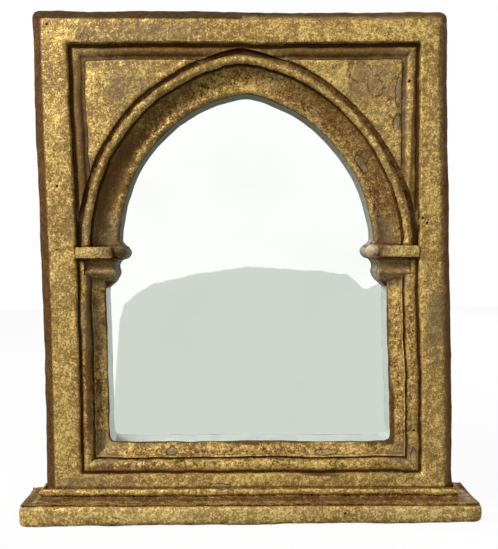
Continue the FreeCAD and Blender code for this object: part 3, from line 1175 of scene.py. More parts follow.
    def build(self, shop: Workshop) -> None:
        """Makes the boards, strips and rings of both halves.

        Args:
            shop: Workshop that takes the finished pieces.
        """
        lay = self.layout
        for side in Side:
            made = {f"spandrel_{side.word}": self.spandrel(side, "board")}
            made.update(self.bead_strips(side))
            hood = self.half_ring(side, self.hood_profile(), lay.hood_radius, "hood")
            band_radius = lay.archivolt_radius - lay.glue_line
            band = self.half_ring(side, self.band_profile(), band_radius, "band")
            self.flare_foot(band, side)
            self.lumps.apply(hood)
            for ring in (hood, band):
                self.round_apex(ring)
            made[f"hood_roll_{side.word}"] = hood
            made[f"archivolt_{side.word}"] = band
            for node, piece in made.items():
                shop.finish.apply(piece)
                shop.hand_over(piece, node)


@dataclass
class Capitals:
    """Abacus and moulded neck at each springing."""

    layout: Layout
    face_end: float = 8.4 * MM
    bulb_size: tuple[float, float, float] = (5.2 * MM, 6.4 * MM, 4.5 * MM)
    bulb_reach: float = 5.0 * MM
    bulb_depth: float = 8.0 * MM
    bulb_facets: tuple[int, int] = (32, 20)
    neck_top_inset: float = 3.8 * MM
    neck_inset: float = 7.8 * MM
    neck_top_depth: float = 1.2 * MM
    neck_depth: float = 3.8 * MM
    undercut: float = 5.4 * MM
    undercut_share: float = 0.14
    side_undercut: float = 0.8 * MM
    foot_depth: float = 11.5 * MM
    bulge: float = 1.6 * MM
    side_bulge: float = 0.5 * MM
    cavetto_share: float = 0.30
    astragal_top_share: float = 0.36
    astragal_foot_share: float = 0.58
    taper_share: float = 0.62
    cavetto_sag: float = 0.16
    corner_width: float = 7.0 * MM
    corner_depth: float = 6.0 * MM
    mesh_size: float = 0.5 * MM

    def abacus(self, side: Side, name: str) -> Piece:
        """Flat block with a round bulb at its inner end.

        Args:
            side: Hand of the block.
            name: Name of the piece.

        Returns:
            The block.
        """
        hand = side.value
        low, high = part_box(f"abacus_{side.word}")
        inner = min(abs(low.x), abs(high.x))
        outer = max(abs(low.x), abs(high.x))
        end = inner + self.face_end
        outline = [(outer, low.z), (outer, high.z), (end, high.z), (end, low.z)]
        piece = block(name, [(hand * x, z) for x, z in outline], low.y, high.y)
        width, depth, height = self.bulb_size
        bulb_y = self.layout.at_depth(self.bulb_depth)
        middle = Vector((hand * (inner + width), bulb_y, (low.z + high.z) / 2))
        deselect()
        around, rings = self.bulb_facets
        bpy.ops.mesh.primitive_uv_sphere_add(segments=around, ring_count=rings, radius=1)
        bulb = named("bulb")
        edit(bulb)
        bpy.ops.transform.resize(value=(width, depth, height))
        pick("VERT", lambda v: v.co.x * hand > NEAR)
        shift((hand * self.bulb_reach, 0, 0))
        pick("VERT", lambda v: v.co.y > NEAR)
        shift((0, high.y - middle.y + depth, 0))
        bpy.ops.mesh.select_all(action="SELECT")
        shift(middle)
        deselect()
        carve(piece, bulb, "UNION")
        saw(piece, (0, high.y, 0), (0, 1, 0))
        self.even_out(piece)
        return piece

    def even_out(self, piece: Piece) -> None:
        """Gives a piece an even mesh with softened edges."""
        modify(piece, "REMESH", mode="VOXEL", voxel_size=self.mesh_size)
        modify(piece, "SMOOTH", factor=0.5, iterations=3)

    def neck_outline(self, far: float, top_in: float, neck_in: float, foot_in: float,
                     under: float, bulge: float) -> list[Pair]:
        """One moulded side of the neck, as (inward distance, height).

        Args:
            far: Distance of the plain side.
            top_in: Distance under the abacus.
            neck_in: Distance at the waist.
            foot_in: Distance at the foot.
            under: Set-back just under the roll.
            bulge: Rise of the roll.

        Returns:
            Corners of the outline.
        """
        lay = self.layout
        height = lay.abacus_foot - lay.neck_foot

        def level(share: float) -> float:
            """Height at a share of the neck, from its top."""
            return lay.abacus_foot - height * share

        top = (top_in, lay.abacus_foot)
        cavetto = (neck_in, level(self.cavetto_share))
        astragal_top = (neck_in, level(self.astragal_top_share))
        astragal_foot = (neck_in, level(self.astragal_foot_share))
        chord = astragal_top[1] - astragal_foot[1]
        points = [(far, lay.abacus_foot), top]
        points += arc(top, cavetto, self.cavetto_sag, 8)
        points += [astragal_top]
        points += arc(astragal_top, astragal_foot, -bulge / chord, 8)
        points += [(neck_in, level(self.taper_share)),
                   (neck_in + under, level(self.taper_share + self.undercut_share)),
                   (foot_in, lay.neck_foot), (far, lay.neck_foot)]
        return points

    def neck(self, side: Side, name: str) -> Piece:
        """Neck with a moulding on its front and on its inner side, running out below.

        Args:
            side: Hand of the neck.
            name: Name of the piece.

        Returns:
            The neck.
        """
        lay = self.layout
        hand = side.value
        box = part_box(f"capital_neck_{side.word}")
        outer = max(abs(box[0].x), abs(box[1].x))
        abacus_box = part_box(f"abacus_{side.word}")
        abacus_inner = min(abs(abacus_box[0].x), abs(abacus_box[1].x))
        seat = lay.seat_y - lay.face_y
        sides = self.neck_outline(outer, abacus_inner + self.neck_top_inset,
                                  abacus_inner + self.neck_inset, lay.sight_half,
                                  self.side_undercut, self.side_bulge)
        piece = block(name, [(hand * x, z) for x, z in sides], lay.face_y, lay.seat_y)
        fronts = self.neck_outline(seat, self.neck_top_depth, self.neck_depth, self.foot_depth,
                                   self.undercut, self.bulge)
        tool = trace("front", [Vector((0, lay.at_depth(d), z)) for d, z in fronts])
        draw_out((hand * lay.stile_inner, 0, 0))
        close_up(tool)
        carve(piece, tool, "INTERSECT")
        carve(piece, self.rounded_corner(hand, abacus_inner + self.neck_top_inset, outer), "INTERSECT")
        self.even_out(piece)
        return piece

    def rounded_corner(self, hand: int, inner: float, outer: float) -> Piece:
        """Tool whose plan rounds the corner between the front and the inner side of the neck.

        Args:
            hand: Sign of the side.
            inner: Distance of the inner side from the middle.
            outer: Distance of the outer side from the middle.

        Returns:
            The tool.
        """
        lay = self.layout
        turn = inner + self.corner_width
        plan = [(outer + MM, lay.seat_y + MM), (outer + MM, lay.face_y), (turn, lay.face_y)]
        for step in range(1, 9):
            angle = step / 8 * math.pi / 2
            plan.append((turn - self.corner_width * math.sin(angle),
                         lay.face_y + self.corner_depth * (1 - math.cos(angle))))
        plan.append((inner, lay.seat_y + MM))
        tool = trace("plan", [Vector((hand * x, y, lay.neck_foot - MM)) for x, y in plan])
        draw_out((0, 0, lay.abacus_foot - lay.neck_foot + 2 * MM))
        close_up(tool)
        return tool

    def build(self, shop: Workshop) -> None:
        """Makes both capitals.

        Args:
            shop: Workshop that takes the finished pieces.
        """
        for side in Side:
            for node, piece in ((f"abacus_{side.word}", self.abacus(side, "block")),
                                (f"capital_neck_{side.word}", self.neck(side, "neck"))):
                shop.finish.apply(piece)
                shop.hand_over(piece, node)


@dataclass
class Base:
    """Plinth board and the moulding that runs round three sides on top of it."""

    layout: Layout
    corner_round: float = 5.0 * MM
    edge_round: float = 3.4 * MM
    fillet: float = 1.4 * MM
    roll: float = 4.2 * MM
    roll_crown: float = 2.5 * MM
    roll_foot: float = 0.9 * MM
    cove_sag: float = 0.20
    wear: float = 0.45 * MM
    pitch: float = 1.3 * MM
    mesh_size: float = 1.0 * MM

    def plinth(self, name: str) -> Piece:
        """Board with rounded front corners and edges.

        Args:
            name: Name of the piece.

        Returns:
            The board.
        """
        low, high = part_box("plinth")
        deselect()
        bpy.ops.mesh.primitive_cube_add(size=1)
        piece = named(name)
        edit(piece)
        bpy.ops.transform.resize(value=tuple(high - low))
        shift((low + high) / 2)
        deselect()
        soften_edges(piece, lambda e: all(abs(v.co.y - low.y) < NEAR for v in e.verts)
                     and abs(e.verts[0].co.z - e.verts[1].co.z) > MM, self.corner_round, 5)
        soften_edges(piece, lambda e: abs(e.verts[0].co.z - e.verts[1].co.z) < NEAR
                     and e.calc_face_angle(0) > SHARP
                     and min(v.co.y for v in e.verts) < high.y - NEAR, self.edge_round, 5)
        modify(piece, "REMESH", mode="VOXEL", voxel_size=self.mesh_size)
        return piece

    def profile(self) -> list[Pair]:
        """Fillet, cove and roll.

        Returns:
            Corners as (projection, height).
        """
        lay = self.layout
        project = lay.face_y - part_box("base_moulding_front")[0].y
        roll_foot_z = lay.base_top - self.roll
        fillet_top = (project, lay.plinth_top + self.fillet)
        cove_end = (self.roll_foot, roll_foot_z)
        points = [(0, lay.plinth_top), (project, lay.plinth_top), fillet_top]
        points += arc(fillet_top, cove_end, self.cove_sag, 12)
        points += arc(cove_end, (self.roll_foot, lay.base_top),
                      -(self.roll_crown - self.roll_foot) / self.roll, 10)
        points += [(0, lay.base_top)]
        return eased(points, self.wear)

    def mouldings(self) -> dict[str, Piece]:
        """Front and two side lengths, mitred at the corners.

        Returns:
            Lengths by node name.
        """
        lay = self.layout
        project = lay.face_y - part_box("base_moulding_front")[0].y
        reach = lay.body_half + project
        profile = self.profile()
        front = strip("front", profile, lambda p, z: Vector((-reach, lay.face_y - p, z)),
                      Vector((2 * reach, 0, 0)), self.pitch)
        made = {"base_moulding_front": front}
        for side in Side:
            hand = side.value
            corner = (hand * lay.body_half, lay.face_y, 0)
            saw(front, corner, (hand, 1, 0))
            length = strip("length", profile,
                           lambda p, z: Vector((hand * (lay.body_half + p), lay.face_y - project, z)),
                           Vector((0, lay.back_y - lay.face_y + project, 0)), self.pitch)
            saw(length, corner, (-hand, -1, 0))
            made[f"base_moulding_{side.word}"] = length
        return made

    def build(self, shop: Workshop) -> None:
        """Makes the board and the three lengths of moulding.

        Args:
            shop: Workshop that takes the finished pieces.
        """
        board = self.plinth("board")
        shop.finish.apply(board)
        saw(board, (0, 0, 0), (0, 0, -1))
        shop.hand_over(board, "plinth")
        for node, piece in self.mouldings().items():
            shop.finish.apply(piece)
            shop.hand_over(piece, node)


class ReliefMap:
    """Depth of the gilded front, used to find what is sunk and what stands proud."""

    CELL = 0.5 * MM
    MARGIN = 12 * MM
    FAR = 14 * MM
    FILL_PASSES = 3
    BLUR_PASSES = 3
    BLUR_RATIO = 1.7
    CREST_BLUR = 1.4 * MM
    CREST_HEIGHT = 0.9 * MM
    NOOK_WIDTH = 3.0 * MM
    NOOK_DEPTH = 1.6 * MM
    HOLLOW_WIDTH = 9.0 * MM
    HOLLOW_DEPTH = 1.8 * MM
    UNDER_REACH = 4.0 * MM
    UNDER_BLUR = 2.5 * MM
    UNDER_DEPTH = 6.0 * MM
    WALL_STEP = 2.0 * MM
    SIDE_SHARE = 0.2
    SHOWN_SIDES = ("abacus", "capital", "plinth")
    UNMARKED = "base"
    SHADED = "archivolt"

    def __init__(self, pieces: Sequence[Piece], layout: Layout) -> None:
        """Gathers the foremost depth in every cell of the front view.

        Args:
            pieces: Finished gilded pieces.
            layout: Main lines of the frame.
        """
        self.coords = {piece.name: points_of(piece) for piece in pieces}
        everything = np.concatenate(list(self.coords.values()))
        self.low = everything.min(0) - self.MARGIN
        shape = np.ceil((everything.max(0) + self.MARGIN - self.low) / self.CELL).astype(int) + 1
        empty = 1.0
        grid = np.full((shape[0], shape[2]), empty)
        column, row = self.cells(everything)
        np.minimum.at(grid, (column, row), everything[:, 1])
        for _ in range(self.FILL_PASSES):
            padded = np.pad(grid, 1, constant_values=empty)
            near = np.min([padded[i:i + grid.shape[0], j:j + grid.shape[1]]
                           for i in range(3) for j in range(3)], axis=0)
            grid = np.where(grid >= empty, near, grid)
        self.front = np.where(grid >= empty, layout.face_y + self.FAR, grid)
        self.close = self.blurred(self.front, self.CREST_BLUR)
        self.narrow = self.front - self.filled(self.NOOK_WIDTH)
        self.broad = self.front - self.filled(self.HOLLOW_WIDTH)
        # Painted shade under the hood roll: how far each cell lies below its highest neighbours.
        beside = self.spread(self.front, round(self.UNDER_REACH / self.CELL), np.minimum)
        self.under = self.blurred(self.front - beside, self.UNDER_BLUR)

    def filled(self, width: float) -> np.ndarray:
        """Map with every hollow up to a width filled."""
        span = max(1, round(width / 2 / self.CELL))
        return self.spread(self.spread(self.front, span, np.minimum), span, np.maximum)

    @staticmethod
    def spread(grid: np.ndarray, span: int, choose: np.ufunc) -> np.ndarray:
        """Lowest or highest value within a span of cells.

        Args:
            grid: The map.
            span: Reach in cells.
            choose: np.minimum or np.maximum.

        Returns:
            The new map.
        """
        for axis in (0, 1):
            widths = [(0, 0), (0, 0)]
            widths[axis] = (span, span)
            padded = np.pad(grid, widths, mode="edge")
            count = grid.shape[axis]
            made = grid
            for start in range(2 * span + 1):
                made = choose(made, np.take(padded, range(start, start + count), axis=axis))
            grid = made
        return grid

    def cells(self, points: np.ndarray) -> tuple[np.ndarray, np.ndarray]:
        """Column and row of each point."""
        index = np.floor((points - self.low) / self.CELL).astype(int)
        return index[:, 0], index[:, 2]

    def blurred(self, grid: np.ndarray, radius: float) -> np.ndarray:
        """Map averaged over about a radius.

        Args:
            grid: The map.
            radius: Reach of the average in metres.

        Returns:
            The averaged map.
        """
        span = max(1, round(radius / self.CELL / self.BLUR_RATIO))
        for _ in range(self.BLUR_PASSES):
            for axis in (0, 1):
                widths = [(0, 0), (0, 0)]
                widths[axis] = (span + 1, span)
                total = np.cumsum(np.pad(grid, widths, mode="edge"), axis=axis)
                ahead = np.take(total, range(2 * span + 1, total.shape[axis]), axis=axis)
                behind = np.take(total, range(0, total.shape[axis] - 2 * span - 1), axis=axis)
                grid = (ahead - behind) / (2 * span + 1)
        return grid

    def mark(self, piece: Piece) -> None:
        """Writes how far each vertex is sunk or proud to the piece as attributes.

        Args:
            piece: A finished gilded piece.
        """
        points = self.coords[piece.name]
        column, row = self.cells(points)
        depth = points[:, 1]
        behind = np.clip((depth - self.front[column, row]) / self.WALL_STEP - 1.0, 0, 1)
        if piece.name.startswith(self.SHOWN_SIDES):
            behind = behind * self.SIDE_SHARE
        proud = np.clip((self.close[column, row] - depth) / self.CREST_HEIGHT, 0, 1)
        under = np.clip(self.under[column, row] / self.UNDER_DEPTH, 0, 1)
        values = {
            "nook": np.clip(self.narrow[column, row] / self.NOOK_DEPTH, 0, 1),
            # hollow: brown in the gilding, soiling with painted shade
            "hollow": np.clip(self.broad[column, row] / self.HOLLOW_DEPTH, 0, 1),
            # under: painted shade under the hood roll, on the band only
            "under": under * piece.name.startswith(self.SHADED),
            "wall": behind,
            # crest: pale leaf in the gilding, worn leaf with a painted highlight
            "crest": proud * (1 - behind),
        }
        for name, value in values.items():
            attribute = piece.data.attributes.new(name, "FLOAT", "POINT")
            if not piece.name.startswith(self.UNMARKED):
                attribute.data.foreach_set("value", value.astype(np.float32))


# Shader building


def linear(colour: Colour) -> tuple[float, float, float, float]:
    """Turns a colour of 0 to 255 into Blender's linear values.

    Args:
        colour: Red, green and blue.

    Returns:
        Linear red, green and blue, and an alpha of 1.
    """
    def channel(value: int) -> float:
        """Linear value of one channel."""
        share = value / 255
        return share / 12.92 if share <= 0.04045 else ((share + 0.055) / 1.055) ** 2.4
    return tuple(channel(value) for value in colour) + (1.0,)


class Value:
    """A number from a node, which can be used in Python expressions."""

    def __init__(self, shader: "Shader", socket: Socket) -> None:
        """Wraps a socket."""
        self.shader = shader
        self.socket = socket

    def math(self, operation: str, first: Any, second: Any) -> "Value":
        """Adds a Math node."""
        node = self.shader.node("ShaderNodeMath", {"operation": operation}, {0: first, 1: second})
        return Value(self.shader, node.outputs[0])

    def __add__(self, other: Any) -> "Value":
        """Sum."""
        return self.math("ADD", self, other)

    __radd__ = __add__

    def __mul__(self, other: Any) -> "Value":
        """Product."""
        return self.math("MULTIPLY", self, other)

    __rmul__ = __mul__

    def __sub__(self, other: Any) -> "Value":
        """Difference."""
        return self.math("SUBTRACT", self, other)

    def __rsub__(self, other: Any) -> "Value":
        """Difference the other way round."""
        return self.math("SUBTRACT", other, self)

    def __truediv__(self, other: Any) -> "Value":
        """Quotient."""
        return self.math("DIVIDE", self, other)

    def __rtruediv__(self, other: Any) -> "Value":
        """Quotient the other way round."""
        return self.math("DIVIDE", other, self)

    def __abs__(self) -> "Value":
        """Size without sign."""
        return self.math("ABSOLUTE", self, 0.0)

    def root(self) -> "Value":
        """Square root."""
        return self.math("SQRT", self, 0.0)

    def most(self, other: Any) -> "Value":
        """The larger of two."""
        return self.math("MAXIMUM", self, other)

    def least(self, other: Any) -> "Value":
        """The smaller of two."""
        return self.math("MINIMUM", self, other)

    def ramp(self, low: float, high: float) -> "Value":
        """Eases from 0 at one value to 1 at another.

        Args:
            low: Value that gives 0.
            high: Value that gives 1.

        Returns:
            The eased value.
        """
        settings = {"interpolation_type": "SMOOTHSTEP", "clamp": True}
        node = self.shader.node("ShaderNodeMapRange", settings,
                                {"Value": self, "From Min": low, "From Max": high})
        return Value(self.shader, node.outputs["Result"])

    def window(self, limits: Limits) -> "Value":
        """Eases from 0 to 1 between the first two limits and back between the last two."""
        return self.ramp(*limits[:2]) * (1 - self.ramp(*limits[2:]))

    def past(self, origin: float, limits: Pair) -> "Value":
        """Eases from 0 to 1 between two limits in millimetres from an origin."""
        low, high = limits
        return self.ramp(origin + low * MM, origin + high * MM)

    def line(self, origin: float, limits: Limits) -> "Value":
        """Window whose limits are in millimetres from an origin."""
        return self.past(origin, limits[:2]) * (1 - self.past(origin, limits[2:]))


class Shader:
    """Builds the nodes of one material or of the world."""

    def __init__(self, tree: bpy.types.NodeTree) -> None:
        """Starts from an empty tree."""
        self.tree = tree
        tree.nodes.clear()

    @classmethod
    def for_material(cls, name: str) -> tuple["Shader", Material]:
        """Starts a new material.

        Args:
            name: Name of the material.

        Returns:
            The builder and the material.
        """
        material = bpy.data.materials.new(name)
        material.use_nodes = True
        return cls(material.node_tree), material

    def node(self, kind: str, settings: dict[str, Any] | None = None,
             values: dict[Any, Any] | None = None) -> bpy.types.Node:
        """Adds a node, sets it up and fills its sockets.

        Args:
            kind: Blender's type of the node.
            settings: Attributes that are set first.
            values: Values, sockets or Values by socket name or index.

        Returns:
            The node.
        """
        made = self.tree.nodes.new(kind)
        for key, value in (settings or {}).items():
            setattr(made, key, value)
        for key, value in (values or {}).items():
            source = value.socket if isinstance(value, Value) else value
            if isinstance(source, Socket):
                self.tree.links.new(source, made.inputs[key])
            else:
                made.inputs[key].default_value = source
        return made

    def place(self) -> Socket:
        """Object coordinates."""
        return self.node("ShaderNodeTexCoord").outputs["Object"]

    def axes(self, vector: Socket) -> tuple[Value, Value, Value]:
        """The three parts of a vector."""
        parts = self.node("ShaderNodeSeparateXYZ", {}, {0: vector}).outputs
        return Value(self, parts[0]), Value(self, parts[1]), Value(self, parts[2])

    def noise(self, vector: Socket, size: float, detail: float = 2.0,
              rough: float = 0.5, twist: float = 0.0) -> Value:
        """Soft noise with features of about one size.

        Args:
            vector: Where it is read.
            size: Size of its features in metres.
            detail: Finer layers.
            rough: Weight of the finer layers.
            twist: Distortion.

        Returns:
            Noise about 0.5.
        """
        node = self.node("ShaderNodeTexNoise", {}, {
            "Vector": vector, "Scale": 1 / size, "Detail": detail, "Roughness": rough,
            "Distortion": twist})
        return Value(self, node.outputs[0])

    def attribute(self, name: str) -> Value:
        """Number kept on the vertices."""
        return Value(self, self.node("ShaderNodeAttribute", {"attribute_name": name}).outputs["Fac"])

    def blend(self, share: Any, first: Any, second: Any) -> Socket:
        """Mixes two colours.

        Args:
            share: Share of the second colour.
            first: Colour, or a socket.
            second: Colour, or a socket.

        Returns:
            Socket of the mixed colour.
        """
        def paint(colour: Any) -> Any:
            """Linear values of a plain colour, or the socket as it is."""
            return linear(colour) if isinstance(colour, tuple) else colour
        node = self.node("ShaderNodeMix", {"data_type": "RGBA"},
                         {0: share, 6: paint(first), 7: paint(second)})
        return node.outputs[2]

    def bump(self, height: Value, strength: float, distance: float) -> Socket:
        """Turns a height into a normal."""
        values = {"Height": height, "Strength": strength, "Distance": distance}
        return self.node("ShaderNodeBump", {}, values).outputs[0]

    def mixed(self, share: Any, first: Socket, second: Socket) -> Socket:
        """Mixes two shaders by the share of the second."""
        return self.node("ShaderNodeMixShader", {}, {0: share, 1: first, 2: second}).outputs[0]

    def surface(self, values: dict[str, Any]) -> None:
        """Ends a material with a Principled shader."""
        shader = self.node("ShaderNodeBsdfPrincipled", {}, values)
        self.node("ShaderNodeOutputMaterial", {}, {"Surface": shader.outputs[0]})


# Finishes


@dataclass(frozen=True)
class Spot:
    """Oval place on the front, in millimetres and degrees."""

    x: float
    z: float
    width: float
    height: float
    turn: float = 0.0


BARE_PLACES = (
    Spot(92.4, 259.0, 4.0, 17.0, 2), Spot(91.2, 239.6, 3.8, 10.0, 12), Spot(70.6, 215.1, 4.6, 12.5, -33),
    Spot(79.7, 189.3, 1.7, 13.0, -12), Spot(41.5, 247.0, 9.0, 2.8, 38), Spot(47.7, 39.0, 12.5, 3.2),
    Spot(-46.5, 40.6, 6.0, 4.6, -10), Spot(-16.0, 20.6, 12.0, 2.6, 3), Spot(101.0, 36.0, 3.6, 11.0, -6),
)
# Worn leaf, and painted highlights on the hood, the apex of the band and the roll of the base.
RUBBED_AND_LIT_PLACES = (
    Spot(-68, 244, 10, 62, 42), Spot(57, 268, 20, 58, -62), Spot(-112, 292, 28, 22),
    Spot(84, 294, 78, 16), Spot(-60, 6, 70, 12), Spot(-128, 6, 24, 14), Spot(20, 6, 60, 12),
    Spot(100, 6, 44, 12), Spot(-114, 235, 12, 64), Spot(-111, 60, 14, 74), Spot(112, 200, 12, 50),
    Spot(10, 25, 70, 8), Spot(-93, 162, 26, 8), Spot(93, 162, 30, 8), Spot(20, 31.8, 160, 8),
    Spot(0, 17.4, 270, 5), Spot(0, 264, 76, 22),
)
# Painted shade on the bulb of the left capital.
SHADED_BULB_PLACES = (Spot(-73.6, 162, 8, 13),)
# Painted shade at the returns of the capitals, and a crack under the sill bead.
SHADED_PLACES = (Spot(-79.6, 162, 7.5, 11), Spot(80.6, 162, 3.0, 10), Spot(45, 26.4, 22, 1.8, 2))
# Bare gesso with painted light on the bulb of the right capital.
CHALKY_AND_LIT_PLACES = (Spot(75.4, 162.2, 8.6, 9.5),)
WORN_PLACES = (
    Spot(-97, 162, 20, 7.5), Spot(90, 162, 20, 7.5), Spot(-40, 7, 190, 10), Spot(95, 7, 70, 10),
)
# Soiling, and painted shade on the top beads, the left beads and the left half of the band.
GRIMY_AND_SHADED_PLACES = (
    Spot(-52, 283, 112, 9), Spot(54, 283, 112, 9), Spot(-100, 232, 8, 112, -3),
    Spot(-96, 100, 4, 120), Spot(-80, 205, 16, 84, 22), Spot(101, 236, 3, 100, 3),
)
# A grey-brown film, and painted shade mostly on the left beads and jamb, under the top rail and on the
# spandrels.
DUSTY_AND_SHADED_PLACES = (
    Spot(-90, 279, 38, 14), Spot(90, 280, 38, 14), Spot(96, 245, 12, 74, 3), Spot(-98, 235, 11, 96, -3),
    Spot(-84, 174, 20, 44), Spot(84, 172, 20, 36), Spot(-86, 148, 32, 26), Spot(88, 148, 32, 26),
    Spot(-88, 43, 36, 32), Spot(94, 40, 26, 28), Spot(-98, 24, 60, 8), Spot(-90, 293, 42, 9),
    Spot(114, 118, 18, 54), Spot(-58, 294, 90, 15), Spot(-97, 178, 26, 32), Spot(-93, 118, 24, 50),
    Spot(-72, 264, 40, 34), Spot(74, 266, 50, 36),
)
BLISTERS = (
    Spot(-14.0, 261.8, 10.5, 4.2, -15), Spot(36.6, 250.0, 5.0, 3.6, 40),
    Spot(69.3, 270.0, 15.0, 12.0, 20), Spot(78.0, 262.0, 9.0, 14.0, -20),
    Spot(-52.5, 39.6, 7.0, 4.0, 8), Spot(-105.5, 35.9, 5.6, 13.0, 4), Spot(-92.0, 3.8, 7.0, 4.0, 10),
    Spot(-80.0, 3.8, 7.6, 4.2, -8), Spot(-55.3, 3.3, 4.7, 3.4), Spot(9.9, 3.2, 5.3, 3.4, 12),
    Spot(36.0, 3.6, 5.3, 3.2, -10), Spot(-95.9, 290.4, 5.0, 4.6, 30),
    Spot(-70.5, 236.5, 6.0, 4.0, -50), Spot(-76.0, 228.0, 5.0, 3.6, -60),
)


@dataclass(frozen=True)
class Ground:
    """What the layers of the gilding are drawn from: lines of the frame and noise of several sizes."""

    RAGGEDNESS = 1.3

    s: Shader
    place: Socket
    x: Value
    y: Value
    z: Value
    over_base: Value
    across: Value
    patch: Value
    cloud: Value
    lump: Value
    grain: Value
    scuff: Value
    ragged: Value

    @classmethod
    def of(cls, s: Shader, finish: HandFinish) -> "Ground":
        """Lays the ground of one material.

        Args:
            s: Builder of the material.
            finish: Lean of the frame and tilt of its base.

        Returns:
            The ground.
        """
        place = s.place()
        x, y, z = s.axes(place)
        return cls(
            s=s, place=place, x=x, y=y, z=z,
            over_base=z + x * finish.base_tilt + finish.base_drop,
            across=x - (z - finish.level) * finish.lean,
            patch=s.noise(place, 30 * MM, 3, 0.6),
            cloud=s.noise(place, 11 * MM, 4, 0.6),
            lump=s.noise(place, 2.7 * MM, 2, 0.55, 0.4),
            grain=s.noise(place, 1.0 * MM, 3, 0.65),
            scuff=s.noise(place, 6 * MM, 5, 0.7, 1.5),
            ragged=s.noise(place, 2.6 * MM, 3, 0.6),
        )

    def distance(self, spots: Sequence[Spot], noise: Value) -> Value:
        """Distance from the nearest spot, as 1 on its outline.

        Args:
            spots: The spots.
            noise: Noise that makes the outlines uneven.

        Returns:
            The distance.
        """
        nearest: Value | None = None
        for spot in spots:
            local = self.s.node("ShaderNodeMapping", {"vector_type": "TEXTURE"}, {
                "Vector": self.place,
                "Location": (spot.x * MM, 0, spot.z * MM),
                "Rotation": (0, math.radians(spot.turn), 0),
                "Scale": (spot.width / 2 * MM, 1.0, spot.height / 2 * MM),
            }).outputs[0]
            measured = self.s.node("ShaderNodeVectorMath", {"operation": "LENGTH"}, {0: local})
            length = Value(self.s, measured.outputs["Value"])
            nearest = length if nearest is None else nearest.least(length)
        return nearest + (noise - 0.5) * self.RAGGEDNESS

    def within(self, spots: Sequence[Spot], noise: Value, core: float, rim: float) -> Value:
        """Share that is 1 in the core of every spot and 0 past its rim."""
        return 1 - self.distance(spots, noise).ramp(core, rim)


